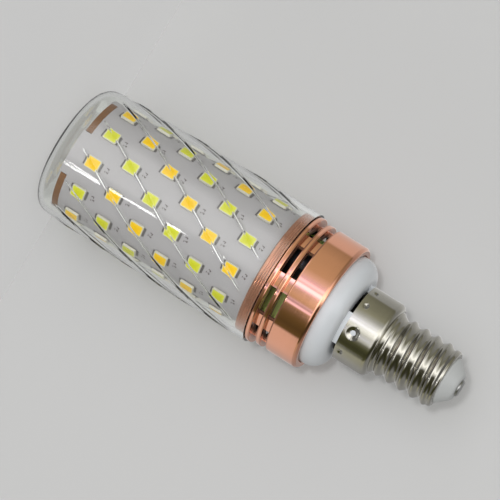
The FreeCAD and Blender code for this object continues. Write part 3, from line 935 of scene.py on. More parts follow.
@dataclass
class LedSheet:
    """Printed board rolled into a tube, with notches at the head, a seam and small print marks."""

    layout: LedLayout
    radius: float = 12.75
    thickness: float = 0.6
    rows: int = 40
    columns: int = 241
    notches: int = 4
    notch_angle: float = 46.0
    notch_depth: float = 1.8
    notch_side: float = 0.15
    seam_angle: float = 90.0
    seam_gap: float = 0.4
    mark_size: float = 0.8
    mark_stroke: float = 0.17
    mark_offset: float = 3.3
    mark_aside: float = 0.1
    mark_lean: float = 15.0
    mark_swing: float = 2.4
    ink_height: float = 0.012
    strokes: tuple[tuple[float, float, float, float], ...] = (
        (-0.75, 0.4, -0.75, -0.4),
        (-0.75, 0.4, -0.3, 0.2),
        (0.05, 0.45, 0.5, 0.45),
        (0.5, 0.45, 0.1, -0.05),
        (0.1, -0.45, 0.55, -0.45),
    )

    def angles(self) -> tuple[np.ndarray, np.ndarray]:
        """Angles from seam to seam, with two close ones at each side of a notch.

        Returns:
            Angles in degrees and, for each, 1 in a notch and 0 outside.
        """
        seam = self.seam_angle
        half_gap = math.degrees(self.seam_gap / 2 / self.radius)
        plain = np.linspace(seam + half_gap, seam + 360 - half_gap, self.columns)
        middles = self.layout.first_angle + 360 / self.notches * (np.arange(self.notches) + 0.5)
        sides = np.concatenate([middles - self.notch_angle / 2, middles + self.notch_angle / 2])
        close = np.concatenate([sides - self.notch_side / 2, sides + self.notch_side / 2])
        angles = np.sort(np.concatenate([plain, (close - seam) % 360 + seam]))
        off = np.abs((angles[:, None] - middles + 180) % 360 - 180).min(1)
        return angles, (off < self.notch_angle / 2).astype(float)

    def shell(self) -> Shell:
        """Section rows go up the outside and down the inside; the low edge steps up in a notch.

        Returns:
            The sheet's shell.
        """
        low, high = span("led_sheet")
        angles, in_notch = self.angles()
        start = low + self.notch_depth * in_notch
        level = start + np.linspace(0, 1, self.rows)[:, None] * (high - start)
        outside = polar(self.radius, np.radians(angles), level)
        shrink = np.array([1 - self.thickness / self.radius] * 2 + [1.0])
        return tube_grid(np.concatenate([outside, outside[::-1] * shrink]))

    def marks(self) -> Shell:
        """Print beside each LED: a few thin strokes bent to the sheet, leaning from place to place.

        Returns:
            All strokes as one shell.
        """
        angles, heights = self.layout.places(range(self.layout.strings))
        ends = self.mark_size * np.array(self.strokes)
        first, last = ends[:, :2], ends[:, 2:]
        along = last - first
        side = np.stack([-along[:, 1], along[:, 0]], -1)
        side *= self.mark_stroke / 2 / np.linalg.norm(side, axis=1, keepdims=True)
        quads = np.stack([first - side, last - side, last + side, first + side], 1)
        lean = np.radians(self.mark_lean * np.sin(np.arange(len(angles)) * self.mark_swing))
        cos, sin = np.cos(lean)[:, None, None], np.sin(lean)[:, None, None]
        across = cos * quads[None, ..., 0] - sin * quads[None, ..., 1]
        up = sin * quads[None, ..., 0] + cos * quads[None, ..., 1]
        turn = np.radians(angles)[:, None, None] + (across - self.mark_aside) / self.radius
        level = heights[:, None, None] + self.mark_offset + up
        top = self.radius + self.ink_height
        upper = polar(top, turn, level).reshape(-1, 4, 3)
        shrink = np.array([self.radius / top] * 2 + [1.0])
        block = np.concatenate([upper * shrink, upper], 1)
        base = [[3, 2, 1, 0], [4, 5, 6, 7]]
        walls = [[edge, (edge + 1) % 4, (edge + 1) % 4 + 4, edge + 4] for edge in range(4)]
        faces = (np.arange(len(block))[:, None, None] * 8 + np.array(base + walls)).reshape(-1, 4)
        return Shell(block.reshape(-1, 3), [faces])

    def build(self) -> None:
        """Make the sheet and its print."""
        make_piece("led_sheet_tube", self.shell(), "sheet_mask", ["led_sheet"])
        make_piece("led_sheet_print", self.marks(), "sheet_mask", finish="sheet_ink")


@dataclass
class LedPackage:
    """One LED: two terminals, a white case with a sunk cell, and the phosphor in it.

    It stands on the origin and looks along X, with Y across and Z along. The dome's rows give a share
    of the cell's size, a height over the case's top and a rim share.
    """

    length: float = 3.2
    width: float = 2.6
    terminal_height: float = 0.15
    terminal_side: float = 0.7
    terminal_reach: float = 0.5
    terminal_width: float = 2.0
    terminal_inset: float = 0.05
    terminal_corner: float = 0.08
    case_top: float = 0.62
    rim: float = 0.17
    cell_depth: float = 0.12
    cell_foot: float = 0.96
    corner: float = 0.18
    top_chamfer: float = 0.06
    dome: tuple[tuple[float, float, float], ...] = (
        (1.0, -0.04, 1.0),
        (0.8, 0.02, 0.35),
        (0.45, 0.05, 0.0),
    )

    def loop(self, wide: float, long: float, height: float, corner: float) -> np.ndarray:
        """Rectangle with cut corners.

        Args:
            wide: Half of its width.
            long: Half of its length.
            height: Its height over the board.
            corner: Length of the cut at each corner.

        Returns:
            Its eight points.
        """
        near, far = wide - corner, long - corner
        across = np.array([wide, wide, near, -near, -wide, -wide, -near, near])
        along = np.array([-far, far, long, long, far, -far, -long, -long])
        return np.stack([np.full(8, height), across, along], -1)

    def stacked(self, wide: float, long: float, corner: float, rows: Sequence[tuple[float, float]]) -> Shell:
        """Body of such rectangles, each given by an inset from the first one and a height."""
        loops = [self.loop(wide - inset, long - inset, height, corner) for inset, height in rows]
        return capped_grid(np.stack(loops))

    def case(self) -> Shell:
        """Rows from the bottom up the sides, over the rim and down into the cell.

        Returns:
            The case's shell.
        """
        cut, rim, top = self.top_chamfer, self.rim, self.case_top
        return self.stacked(self.width / 2, self.length / 2, self.corner, [
            (0.0, self.terminal_height),
            (0.0, top - cut),
            (cut, top),
            (rim, top),
            (rim + cut, top - self.cell_depth),
        ])

    def phosphor(self) -> Shell:
        """Low dome that fills the cell; its rim share falls from 1 at the edge to 0 inside.

        Returns:
            The dome's shell.
        """
        wide, long = self.width / 2 - self.rim, self.length / 2 - self.rim
        parts, heights, rims = np.array([(self.cell_foot, -self.cell_depth, 1.0), *self.dome]).T
        loops = [
            self.loop(wide * part, long * part, self.case_top + height, self.corner)
            for part, height in zip(parts, heights)
        ]
        shell = capped_grid(np.stack(loops))
        shell.shares["rim"] = np.concatenate([np.repeat(rims, 8), rims[[0, -1]]])
        return shell

    def terminals(self) -> Shell:
        """Strip under the case that shows at both ends.

        Returns:
            The strip's shell.
        """
        long = self.length / 2 + self.terminal_reach
        return self.stacked(self.terminal_width / 2, long, self.terminal_corner, [
            (0.0, 0.0),
            (0.0, self.terminal_height * self.terminal_side),
            (self.terminal_inset, self.terminal_height),
        ])


@dataclass
class LedArray:
    """All LEDs of the lamp: two colours in alternate strings, and a circle on the end board."""

    layout: LedLayout
    package: LedPackage = field(default_factory=LedPackage)
    sheet_radius: float = 12.75
    end_count: int = 8
    end_circle: float = 8.4

    def build(self) -> None:
        """Make the terminals, cases and phosphors of each group; those of the end board look down."""
        pieces = {
            "terminals": (self.package.terminals(), "led_terminal"),
            "bodies": (self.package.case(), "led_case"),
            "phosphors": (self.package.phosphor(), "{}_phosphor"),
        }
        for name, start in (("warm", 0), ("cool", 1)):
            angles, heights = self.layout.places(range(start, self.layout.strings, 2))
            for kind, (shell, slot) in pieces.items():
                up, across, along = shell.points.T
                moved = swung(angles, self.sheet_radius + up, across, heights[:, None] + along)
                leds = copies(shell, moved)
                make_piece(f"{name}_{kind}", leds, slot.format(name), [f"{name}_led_{kind}"])
        turns = self.layout.first_angle + 360 / self.end_count * np.arange(self.end_count)
        floor = span("end_board")[0]
        for kind, (shell, slot) in pieces.items():
            up, across, along = shell.points.T
            moved = swung(turns, self.end_circle + along, across, floor - up)
            make_piece(f"end_{kind}", copies(shell, moved), slot.format("warm"), [f"end_led_{kind}"])


@dataclass
class Collar:
    """Plated collar: neck and first ridge, second ridge and band, held apart by posts."""

    neck_radius: float = 14.09
    neck_bore: float = 12.85
    # Share of painted shade on the neck under the cover's mouth.
    neck_bare: float = 0.26
    neck_edge: float = 0.25
    line_drops: tuple[float, ...] = (1.65, 1.15, 0.65)
    line_width: float = 0.3
    line_depth: float = 0.12
    bore: float = 12.0
    ridge_radius: float = 14.85
    groove_radius: float = 13.2
    band_radius: float = 14.4
    band_bore: float = 12.75
    ridge_width: float = 1.1
    groove_width: float = 1.4
    end_height: float = 0.5
    end_depth: float = 0.4
    end_edges: tuple[float, float, float] = (0.4, 0.3, 0.12)
    mouth_gap: float = 0.06
    joint_gap: float = 0.2
    joint_depth: float = 0.7
    seat_depth: float = 1.2
    ledge: float = 0.8
    vents: int = 8
    vent_angle: float = 30.0
    edge: float = 0.16
    inner_edge: float = 0.1
    post_edge: float = 0.05
    lap: float = 0.02

    def neck_lines(self, mouth: float) -> list[Corner]:
        """Corners of the fine turned lines on the neck.

        Args:
            mouth: Height of the cover's mouth.

        Returns:
            Radius, height and corner radius of each corner.
        """
        return [
            (self.neck_radius - depth, mouth - drop + side * self.line_width / 2, 0)
            for drop in self.line_drops
            for side, depth in ((-1, 0), (0, self.line_depth), (1, 0))
        ]

    def build(self) -> None:
        """Make the collar as rings and posts."""
        start, end = span("collar")
        mouth = span("clear_cover")[1]
        groove_1 = mouth + self.ridge_width
        ridge_2 = groove_1 + self.groove_width
        groove_2 = ridge_2 + self.ridge_width
        band = groove_2 + self.groove_width
        edge, inner_edge, lap = self.edge, self.inner_edge, self.lap
        seat, foot = start + self.seat_depth, mouth + self.mouth_gap
        outer_end, end_edge, joint_edge = self.end_edges
        joint_bore, joint_floor = self.band_bore + self.joint_gap, end - self.joint_depth
        rings = [
            turned_ring([
                (self.neck_bore, start, inner_edge),
                (self.neck_radius, start, self.neck_edge),
                *self.neck_lines(mouth),
                (self.neck_radius, foot, 0),
                (self.ridge_radius, foot, edge),
                (self.ridge_radius, groove_1, edge),
                (self.bore, groove_1, inner_edge),
                (self.bore, seat, inner_edge),
                (self.neck_bore, seat, 0),
            ]),
            turned_ring([
                (self.bore, ridge_2, inner_edge),
                (self.band_radius, ridge_2, edge),
                (self.band_radius, groove_2, edge),
                (self.bore, groove_2, inner_edge),
            ]),
            turned_ring([
                (self.bore, band, inner_edge),
                (self.band_radius, band, edge),
                (self.band_radius, end - self.end_height, outer_end),
                (self.band_radius - self.end_depth, end, end_edge),
                (joint_bore, end, joint_edge),
                (joint_bore, joint_floor, 0),
                (self.band_bore, joint_floor, 0),
                (self.band_bore, band + self.ledge, 0),
                (self.bore, band + self.ledge, 0),
            ]),
        ]
        step = 360 / self.vents
        posts = [
            sector((self.bore, self.groove_radius), (low - lap, low + self.groove_width + lap),
                   step * place, step - self.vent_angle, self.post_edge)
            for low in (groove_1, groove_2)
            for place in range(self.vents)
        ]
        shell = joined(rings + posts)
        reach = np.hypot(shell.points[:, 0], shell.points[:, 1])
        # Inside share: painted shade that grows from the grooves' floor to the bore, and a part of it on the
        # neck.
        inside = np.clip((self.groove_radius - reach) / (self.groove_radius - self.bore), 0, 1)
        on_neck = (reach < self.neck_radius + lap) & (shell.points[:, 2] < foot + lap)
        shell.shares["inside"] = np.where(on_neck, np.maximum(inside, self.neck_bare), inside)
        make_piece("collar_plated", shell, "rose_gold_plate", ["collar"])


@dataclass
class BaseHousing:
    """White moulding: tube in the collar, round shoulder, and a spigot on keys with windows between."""

    radius: float = 12.65
    bore: float = 11.35
    wall: float = 1.3
    edge: float = 0.1
    shoulder_height: float = 4.4
    shoulder_steps: int = 16
    foot_radius: float = 9.0
    key_radius: float = 8.5
    spigot_radius: float = 8.1
    spigot_bore: float = 6.8
    keys: int = 3
    key_angle: float = 52.0
    key_turn: float = -77.5
    key_sink: float = 0.3
    key_edge: float = 0.08

    def build(self) -> None:
        """Make the shoulder and the spigot as turned rings, with keys between them."""
        start, end = span("base_housing")
        foot = span("collar")[1] + self.shoulder_height
        skirt = span("screw_cap")[0]
        round_radius = self.radius - self.foot_radius
        shoulder = turned_ring([
            (self.bore, start, self.edge),
            (self.radius, start, self.edge),
            (self.radius, foot, round_radius),
            (self.spigot_bore, foot, self.edge),
            (self.spigot_bore, foot - self.wall, 0),
            (self.bore, foot - self.wall, round_radius - self.wall),
        ], self.shoulder_steps)
        spigot = turned_ring([
            (self.spigot_bore, skirt, 0),
            (self.spigot_radius, skirt, 0),
            (self.spigot_radius, end, self.edge),
            (self.spigot_bore, end, self.edge),
        ])
        keys = [
            sector((self.spigot_bore, self.key_radius), (foot - self.key_sink, skirt),
                   self.key_turn + 360 / self.keys * place, self.key_angle, self.key_edge)
            for place in range(self.keys)
        ]
        shell = joined([shoulder, spigot] + keys)
        make_piece("base_housing_moulding", shell, "white_plastic", ["base_housing"])


@dataclass
class ScrewCap:
    """Drawn E14 cap: skirt with crimp dimples, rounded step, knuckle thread and a lip.

    A crimp and a dot are given by height over the skirt's edge, width and depth. The run in gives how
    far before its lead in the thread starts and over which length it rises, as shares of the pitch.
    The run out gives how far below the lip it ends, and over which share of the pitch it falls.
    """

    skirt_radius: float = 8.5
    skirt_length: float = 6.4
    skirt_rows: int = 56
    step_radius: float = 7.2
    step_height: float = 1.5
    step_drop: float = 0.1
    step_rows: int = 12
    crest_radius: float = 6.93
    thread_depth: float = 0.8
    thread_rows: int = 150
    thread_settle: float = 0.7
    pitch: float = 2.82
    lead_in: float = 1.55
    run_in: tuple[float, float] = (0.55, 0.5)
    run_out: tuple[float, float] = (0.7, 0.3)
    sheet: float = 0.3
    lip_radius: float = 5.35
    lip_roll: float = 0.55
    lip_rows: int = 8
    columns: int = 256
    crimp: tuple[float, float, float] = (2.1, 1.45, 0.5)
    crimp_turn: float = 10.6
    dot: tuple[float, float, float] = (1.3, 0.6, 0.28)
    dot_turns: tuple[float, ...] = (-62.0, -33.0, 48.0)
    bowl_power: float = 1.2
    sharp: float = 50.0

    def outline(self, low: float, high: float) -> np.ndarray:
        """Outside of the cap from the skirt's edge to the lip, with the thread left out.

        Args:
            low: Height of the skirt's edge.
            high: Height of the lip's outer face.

        Returns:
            Points (radius, height), close together on the skirt and the thread.
        """
        mean = self.crest_radius - self.thread_depth / 2
        step = low + self.skirt_length
        round_radius = self.skirt_radius - self.step_radius
        roll = high - self.lip_roll
        levels = np.linspace(step + self.step_height, roll, self.thread_rows)
        ease = np.clip((levels - levels[0]) / self.thread_settle, 0, 1)
        start = self.step_radius - self.step_drop
        return np.concatenate([
            paired(self.skirt_radius, np.linspace(low, step, self.skirt_rows)),
            arc((self.step_radius, step), round_radius, 0, 90, self.step_rows)[1:],
            paired(start + (mean - start) * ease * ease * (3 - 2 * ease), levels),
            arc((mean - self.lip_roll, roll), self.lip_roll, 0, 90, self.lip_rows)[1:],
            paired([self.lip_radius], high),
        ])

    def thread(self, angles: np.ndarray, heights: np.ndarray, low: float, high: float) -> np.ndarray:
        """Radial wave of the thread: a cosine of the height less the helix's rise, with eased ends.

        Args:
            angles: Angles round the axis in radians.
            heights: Heights of the rows.
            low: Height of the skirt's edge.
            high: Height of the lip's outer face.

        Returns:
            Radial offset at each row and angle.
        """
        over = heights - (low + self.skirt_length + self.step_height + self.lead_in)
        ease_in = np.clip((over + self.pitch * self.run_in[0]) / (self.pitch * self.run_in[1]), 0, 1)
        ease_out = np.clip((high - self.run_out[0] - heights) / (self.pitch * self.run_out[1]), 0, 1)
        wave = np.cos(2 * np.pi * over / self.pitch - angles)
        return self.thread_depth / 2 * wave * ease_in * ease_out

    def dents(self, angles: np.ndarray, heights: np.ndarray, low: float) -> np.ndarray:
        """Depth of the dimples: round-edged bowls in the skirt, each with its like on the far side.

        Args:
            angles: Angles round the axis in radians.
            heights: Heights of the rows.
            low: Height of the skirt's edge.

        Returns:
            Depth at each row and angle.
        """
        depth = np.zeros(np.broadcast(angles, heights).shape)
        dimples = [(self.crimp_turn, self.crimp)] + [(turn, self.dot) for turn in self.dot_turns]
        for turn, (rise, width, deep) in dimples:
            for side in (0, 180):
                off = (angles - np.radians(turn + side - 90) + np.pi) % (2 * np.pi) - np.pi
                reach = np.hypot(off * self.skirt_radius, heights - low - rise) / width
                depth += deep * np.clip(1 - reach ** 2, 0, 1) ** self.bowl_power
        return depth

    def build(self) -> None:
        """Make the cap as a closed thin sheet."""
        low, high = span("screw_cap")
        outline = self.outline(low, high)
        angles = np.linspace(0, 2 * np.pi, self.columns, endpoint=False)[None, :]
        heights = outline[:, 1:]
        wave = self.thread(angles, heights, low, high)
        radius = outline[:, :1] + wave - self.dents(angles, heights, low)
        inner = np.maximum(radius - self.sheet, self.lip_radius)
        inner_heights = np.clip(heights, low, high - self.sheet)
        radius = np.concatenate([radius, inner[::-1]])
        level = np.concatenate([heights, inner_heights[::-1]])
        shell = ring_grid(polar(radius, angles, level))
        make_piece("screw_cap_sheet", shell, "nickel_plate", ["screw_cap"], sharp=self.sharp)


@dataclass
class CapTip:
    """Insulator at the cap's end and the centre contact in it."""

    base_radius: float = 5.27
    base_round: float = 0.5
    flange_radius: float = 5.75
    sheet: float = 0.3
    rim: float = 0.3
    edge: float = 0.1
    seat_edge: float = 0.05
    top_radius: float = 3.06
    top_round: float = 1.4
    contact_radius: float = 1.9
    contact_edge: float = 0.3
    contact_columns: int = 96
    shank_radius: float = 0.9
    core_radius: float = 0.05

    def build(self) -> None:
        """Make the insulator and the contact."""
        low, high = span("tip_insulator")
        lip = span("screw_cap")[1]
        seat = lip - self.sheet
        insulator = turned_ring([
            (self.shank_radius, low, 0),
            (self.flange_radius, low, self.edge),
            (self.flange_radius, seat, self.seat_edge),
            (self.base_radius, seat, 0),
            (self.base_radius, lip + self.rim, self.base_round),
            (self.top_radius, high, self.top_round),
            (self.shank_radius, high, 0),
        ])
        make_piece("tip_insulator_moulding", insulator, "grey_plastic", ["tip_insulator"])
        tail, top = span("centre_contact")
        outline = rounded([
            (self.core_radius, tail, 0),
            (self.shank_radius, tail, self.edge),
            (self.shank_radius, high, 0),
            (self.contact_radius, high, self.seat_edge),
            (self.contact_radius, top, self.contact_edge),
            (self.core_radius, top, 0),
        ])
        contact = capped_grid(spun(outline, self.contact_columns))
        make_piece("centre_contact_rivet", contact, "contact_metal", ["centre_contact"])


@dataclass
class Driver:
    """Board and parts inside the collar, which keep their CAD shapes."""

    slots: tuple[tuple[str, str], ...] = (
        ("end_board", "brown_laminate"),
        ("driver_board", "green_board"),
        ("smoothing_capacitor", "can_sleeve"),
        ("film_capacitor", "film_case"),
        ("bridge_rectifier", "chip_resin"),
        ("driver_chip", "chip_resin"),
        ("fuse_resistor", "resistor_lacquer"),
        ("live_lead", "red_insulation"),
        ("neutral_lead", "black_insulation"),
        ("led_feed_lead_positive", "red_insulation"),
        ("led_feed_lead_negative", "black_insulation"),
    )

    def build(self) -> None:
        """Give each CAD node its finish."""
        for node, finish in self.slots:
            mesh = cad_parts[node].data
            mesh.materials.clear()
            mesh.materials.append(MATERIALS[finish])
            LOG.info("%s: dressed as %s", node, finish)


class Tint(Enum):
    """Colours of the light that the studio's panels give."""

    PLAIN = (1.0, 1.0, 1.0)
    BROWN = (1.0, 0.97, 0.72)
    OLIVE = (1.0, 1.0, 0.45)
    PINK = (1.0, 1.02, 1.5)


PLAIN, BROWN, OLIVE, PINK = Tint
Panels = tuple[tuple[float, float, Tint], ...]

BACK_LEFT: Panels = ((-180, 0.5, PLAIN), (-125, 0.5, PLAIN), (-95, 0.22, PLAIN))
BACK_RIGHT: Panels = ((95, 0.22, PLAIN), (125, 0.5, PLAIN), (180, 0.5, PLAIN))
FOOT_PANELS: Panels = BACK_LEFT + BACK_RIGHT
COVER_PANELS: Panels = (
    *BACK_LEFT, (-60, 0.24, PLAIN), (-44, 1.2, PLAIN), (12, 1.2, PLAIN), (24, 0.22, PLAIN), *BACK_RIGHT,
)
COLLAR_PANELS: Panels = (
    (-180, 0.62, PLAIN), (-112, 0.74, PLAIN), (-104, 0.72, PLAIN), (-98, 0.42, BROWN), (-72, 0.57, BROWN),
    (-36, 0.64, BROWN), (-26, 0.85, PLAIN), (-18, 0.95, PINK), (-15, 1.6, PINK), (-13, 1.6, PINK),
    (-10, 1.05, PINK), (-7, 2.2, PINK), (-4, 2.2, PINK), (0, 0.9, PINK), (4, 0.62, PLAIN),
    (13, 0.66, BROWN), (18, 0.58, BROWN), (21.5, 0.8, PINK), (24, 0.46, PINK), (27, 1.4, PINK),
    (28.5, 1.4, PINK), (30.5, 0.45, BROWN), (33, 0.24, BROWN), (48, 0.14, OLIVE), (62, 0.1, OLIVE),
    (74, 0.14, OLIVE), (79, 0.82, PLAIN), (120, 0.78, PLAIN), (150, 0.55, PLAIN), (180, 0.5, PLAIN),
)
CAP_PANELS: Panels = (
    (-180, 0.75, PLAIN), (-124, 0.56, PLAIN), (-102, 0.46, PLAIN), (-97, 0.24, BROWN), (-60, 0.33, BROWN),
    (-44, 0.45, BROWN), (-30, 0.8, PLAIN), (-16, 1.8, PLAIN), (-4, 2.5, PLAIN), (6, 2.3, PLAIN),
    (16, 1.35, PLAIN), (34, 1.2, PLAIN), (42, 0.3, BROWN), (52, 0.12, OLIVE), (64, 0.07, OLIVE),
    (82, 0.13, OLIVE), (90, 0.55, BROWN), (125, 0.5, PLAIN), (155, 0.36, PLAIN), (180, 0.36, PLAIN),
)
SKY_PANELS: Panels = (
    (-180, 0.55, PLAIN), (-110, 0.35, PLAIN), (-70, 0.3, BROWN), (-30, 1.5, PLAIN), (-12, 2.4, PLAIN),
    (2, 1.3, PLAIN), (18, 0.12, BROWN), (60, 0.05, OLIVE), (85, 0.08, BROWN), (105, 0.35, PLAIN),
    (180, 0.35, PLAIN),
)
TOP_PANELS: Panels = ((-180, 1.1, PLAIN), (180, 1.1, PLAIN))


@dataclass
class Tier:
    """Ring of upright panels that starts over a range of elevations in degrees."""

    panels: Panels
    start: tuple[float, float]


@dataclass
class Strip:
    """Narrow bright tube: angle at its top end, lean in degrees for each degree down, top, half width."""

    angle: float
    lean: float
    top: float
    half: float


@dataclass
class Studio:
    """Surroundings that the lamp reflects: tiers of upright panels of light and dark round it.

    Panels are angles in degrees from the camera's side, growing anticlockwise seen from above, each
    with its level and tint. The cover reflects the tier over the dark foot with its two bright strips,
    the collar the tier over it, the cap the next one, slopes that look up the sky, and edges the lit
    ceiling.
    """

    camera_azimuth: float
    pale: float = 0.64
    top_level: float = 4.0
    tiers: tuple[Tier, ...] = (
        Tier(FOOT_PANELS, (-90.0, -89.0)),
        Tier(COVER_PANELS, (-28.0, -24.0)),
        Tier(COLLAR_PANELS, (-11.9, -11.4)),
        Tier(CAP_PANELS, (-9.9, -9.4)),
        Tier(SKY_PANELS, (15.0, 40.0)),
        Tier(TOP_PANELS, (74.0, 82.0)),
    )
    strips: tuple[Strip, ...] = (Strip(23.9, 3.0, -13.8, 1.7), Strip(26.9, -1.4, -15.2, 0.8))
    strip_level: float = 18.0
    strip_foot: float = -16.1
    strip_core: float = 0.7
    strip_soft: float = 0.1

    def build(self) -> None:
        """Make the world: panels for what the lamp reflects, an even level for what is seen past it."""
        world = bpy.data.worlds.new("studio")
        bpy.context.scene.world = world
        graph = Graph(world)
        way = graph.node("ShaderNodeTexCoord", output="Generated")
        rise = graph.axis(way, "Z").math("ARCSINE") * (180 / math.pi)
        turn = graph.axis(way, "X").math("ARCTAN2", graph.axis(way, "Y") * -1)
        angle = turn * (180 / math.pi) - self.camera_azimuth
        panels = {"Color": self.panel_light(graph, angle, rise), "Strength": self.top_level}
        lights = graph.node("ShaderNodeAddShader", inputs={
            0: graph.node("ShaderNodeBackground", inputs=panels),
            1: graph.node("ShaderNodeBackground", inputs={"Strength": self.strip_light(angle, rise)}),
        })
        plain = graph.node("ShaderNodeBackground", inputs={"Strength": self.pale})
        mixed = graph.blend(self.seen_straight(graph), lights, plain)
        graph.node("ShaderNodeOutputWorld", inputs={"Surface": mixed})

    def seen_straight(self, graph: Graph) -> Socket:
        """Rays of the camera that no mirror has turned, also through the clear cover.

        Args:
            graph: Graph of the world.

        Returns:
            1 for such a ray and 0 for others.
        """
        mirrored = graph.ray("Glossy Depth").math("MINIMUM", 1.0)
        through = graph.ray("Is Transmission Ray") * (1 - mirrored)
        return graph.ray("Is Camera Ray").math("MAXIMUM", through)

    def ring(self, graph: Graph, angle: Socket, panels: Panels) -> Socket:
        """Colour of a ring of panels at an angle.

        Args:
            graph: Graph of the world.
            angle: Angle from the camera's side in degrees.
            panels: Panels of the ring.

        Returns:
            The colour as a share of the top level.
        """
        stops = [
            ((place + 180) / 360, tuple(level / self.top_level * part for part in tint.value))
            for place, level, tint in panels
        ]
        return graph.node("ShaderNodeValToRGB", {"stops": stops}, {0: (angle + 180) / 360})

    def panel_light(self, graph: Graph, angle: Socket, rise: Socket) -> Socket:
        """Colour of all tiers in a direction: each covers the ones below it from its start.

        Args:
            graph: Graph of the world.
            angle: Angle from the camera's side in degrees.
            rise: Elevation in degrees.

        Returns:
            The colour as a share of the top level.
        """
        light = self.ring(graph, angle, self.tiers[0].panels)
        for tier in self.tiers[1:]:
            light = graph.mix(rise.step(*tier.start), light, self.ring(graph, angle, tier.panels))
        return light

    def strip_light(self, angle: Socket, rise: Socket) -> Socket:
        """Level of the strips: bright within half a width of a leaning line, from foot to top.

        Args:
            angle: Angle from the camera's side in degrees.
            rise: Elevation in degrees.

        Returns:
            The level in that direction.
        """
        soft = self.strip_soft
        total = rise * 0
        for strip in self.strips:
            off = angle - strip.angle + (rise - strip.top) * strip.lean
            narrow = 1 - off.math("ABSOLUTE").step(strip.half * self.strip_core, strip.half)
            total = total + narrow * (1 - rise.step(strip.top - soft, strip.top + soft))
        return total * rise.step(self.strip_foot - soft, self.strip_foot + soft) * self.strip_level


@dataclass
class Softbox:
    """Square lamp.

    Angles are in degrees from the camera's side and over the floor, distance and size in metres, and
    power in watts.
    """

    name: str
    aside: float
    elevation: float
    distance: float
    size: float
    power: float


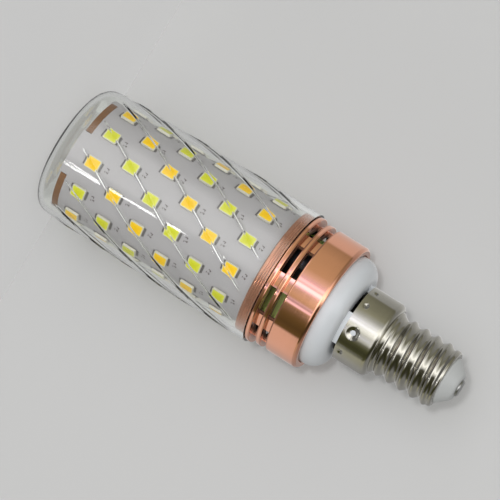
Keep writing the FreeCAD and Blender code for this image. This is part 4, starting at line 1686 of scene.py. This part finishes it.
@dataclass
class Stage:
    """Floor, the surface behind the lamp, four soft lamps and the photograph's camera.

    The glow of floor and wall is the share and the level of their even part.
    """

    floor_half: float = 0.5
    back_gap: float = 0.0156
    back_half: float = 0.9
    back_height: float = 1.6
    wall_glow: tuple[float, float] = (0.1, 0.52)
    floor_glow: tuple[float, float] = (0.5, 0.79)
    cloud_scale: float = 9.0
    cloud_low: float = 0.99
    softboxes: tuple[Softbox, ...] = (
        Softbox("key_softbox", -12.0, -10.0, 0.8, 0.5, 0.6),
        Softbox("fill_softbox", -2.0, 4.497, 0.75, 0.06, 1.6),
        Softbox("side_softbox", 80.0, -5.0, 0.8, 0.5, 1.5),
        Softbox("rear_softbox", 180.0, 12.0, 0.8, 0.8, 1.6),
    )
    azimuth: float = -3.556
    elevation: float = 11.497
    roll: float = 122.033
    distance: float = 0.69128
    target: tuple[float, float, float] = (-0.001232, 0.000077, 0.044158)
    lens: float = 240.27
    sensor: float = 36.0
    clip: tuple[float, float] = (0.01, 20.0)

    def plane(self, name: str, corners: Sequence[tuple[float, float, float]], tone: Tone,
              glow: tuple[float, float]) -> None:
        """Flat pale stage piece that only the camera meets, and only from its front.

        Args:
            name: Name of the piece.
            corners: Corners in metres in order, seen from the front.
            tone: Its colour where it is lit.
            glow: Share and level of its even part.
        """
        material = bpy.data.materials.new(f"{name}_pale")
        graph = Graph(material)
        low = tuple(self.cloud_low * level for level in tone.value)
        cloud = graph.mix(graph.noise(self.cloud_scale, SOFT_OCTAVES), low, tone.value)
        matt = graph.node("ShaderNodeBsdfDiffuse", inputs={"Color": cloud})
        even = graph.node("ShaderNodeEmission", inputs={"Strength": glow[1]})
        clear = graph.node("ShaderNodeBsdfTransparent")
        behind = graph.node("ShaderNodeNewGeometry", output="Backfacing")
        graph.finish_surface(graph.blend(behind, graph.blend(glow[0], matt, even), clear))
        mesh = bpy.data.meshes.new(name)
        mesh.from_pydata(list(corners), [], [(0, 1, 2, 3)])
        mesh.materials.append(material)
        made = bpy.data.objects.new(name, mesh)
        bpy.context.collection.objects.link(made)
        made.visible_diffuse = made.visible_glossy = False
        made.visible_transmission = made.visible_shadow = False

    def surfaces(self) -> None:
        """Floor under the lamp, and the surface that the lamp leans against in the photograph."""
        half, back, side, top = self.floor_half, self.back_gap, self.back_half, self.back_height
        floor = [(-half, -half, 0), (half, -half, 0), (half, half, 0), (-half, half, 0)]
        wall = [(-side, back, 0), (side, back, 0), (side, back, top), (-side, back, top)]
        self.plane("floor", floor, Tone.FLOOR, self.floor_glow)
        self.plane("backdrop", wall, Tone.BACKDROP, self.wall_glow)

    def put(self, made: bpy.types.Object, azimuth: float, elevation: float, distance: float,
            roll: float = 0.0) -> None:
        """Place a lamp or a camera round the lamp's middle, looking at it.

        Args:
            made: New object that looks along its own -Z.
            azimuth: Angle round the axis in degrees, as the views use it.
            elevation: Angle over the floor in degrees.
            distance: Distance from the middle in metres.
            roll: Turn about its line of sight in degrees.
        """
        turn, rise = math.radians(azimuth), math.radians(elevation)
        level = math.cos(rise)
        back = Vector((math.sin(turn) * level, -math.cos(turn) * level, math.sin(rise)))
        facing = back.to_track_quat("Z", "Y").to_matrix()
        rolled = facing @ Matrix.Rotation(math.radians(roll), 3, "Z")
        made.rotation_mode = "QUATERNION"
        made.rotation_quaternion = rolled.to_quaternion()
        made.location = Vector(self.target) + back * distance
        bpy.context.collection.objects.link(made)

    def lamps(self) -> None:
        """Square area lamps, which aren't mirrored in the lamp."""
        for box in self.softboxes:
            data = bpy.data.lights.new(box.name, "AREA")
            data.size, data.energy = box.size, box.power
            made = bpy.data.objects.new(box.name, data)
            made.visible_glossy = made.visible_transmission = made.visible_camera = False
            self.put(made, self.azimuth + box.aside, box.elevation, box.distance)

    def camera(self) -> None:
        """Camera at the photograph's place, rolled so that the cap points down to the right."""
        data = bpy.data.cameras.new("photo_camera")
        data.sensor_width, data.lens = self.sensor, self.lens
        data.clip_start, data.clip_end = self.clip
        made = bpy.data.objects.new("photo_camera", data)
        self.put(made, self.azimuth, self.elevation, self.distance, self.roll)
        bpy.context.scene.camera = made

    def build(self) -> None:
        """Set the stage."""
        self.surfaces()
        Studio(self.azimuth).build()
        self.lamps()
        self.camera()
        bpy.context.scene.view_settings.view_transform = "Standard"


def main() -> None:
    """Build every sub-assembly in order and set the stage."""
    logging.basicConfig(level=logging.INFO, format="%(name)s %(message)s")
    layout = LedLayout()
    for assembly in (
        ClearCover(layout), LedSheet(layout), LedArray(layout), Collar(), BaseHousing(),
        ScrewCap(), CapTip(), Driver(), Stage(),
    ):
        assembly.build()


if __name__ == "__main__":
    main()
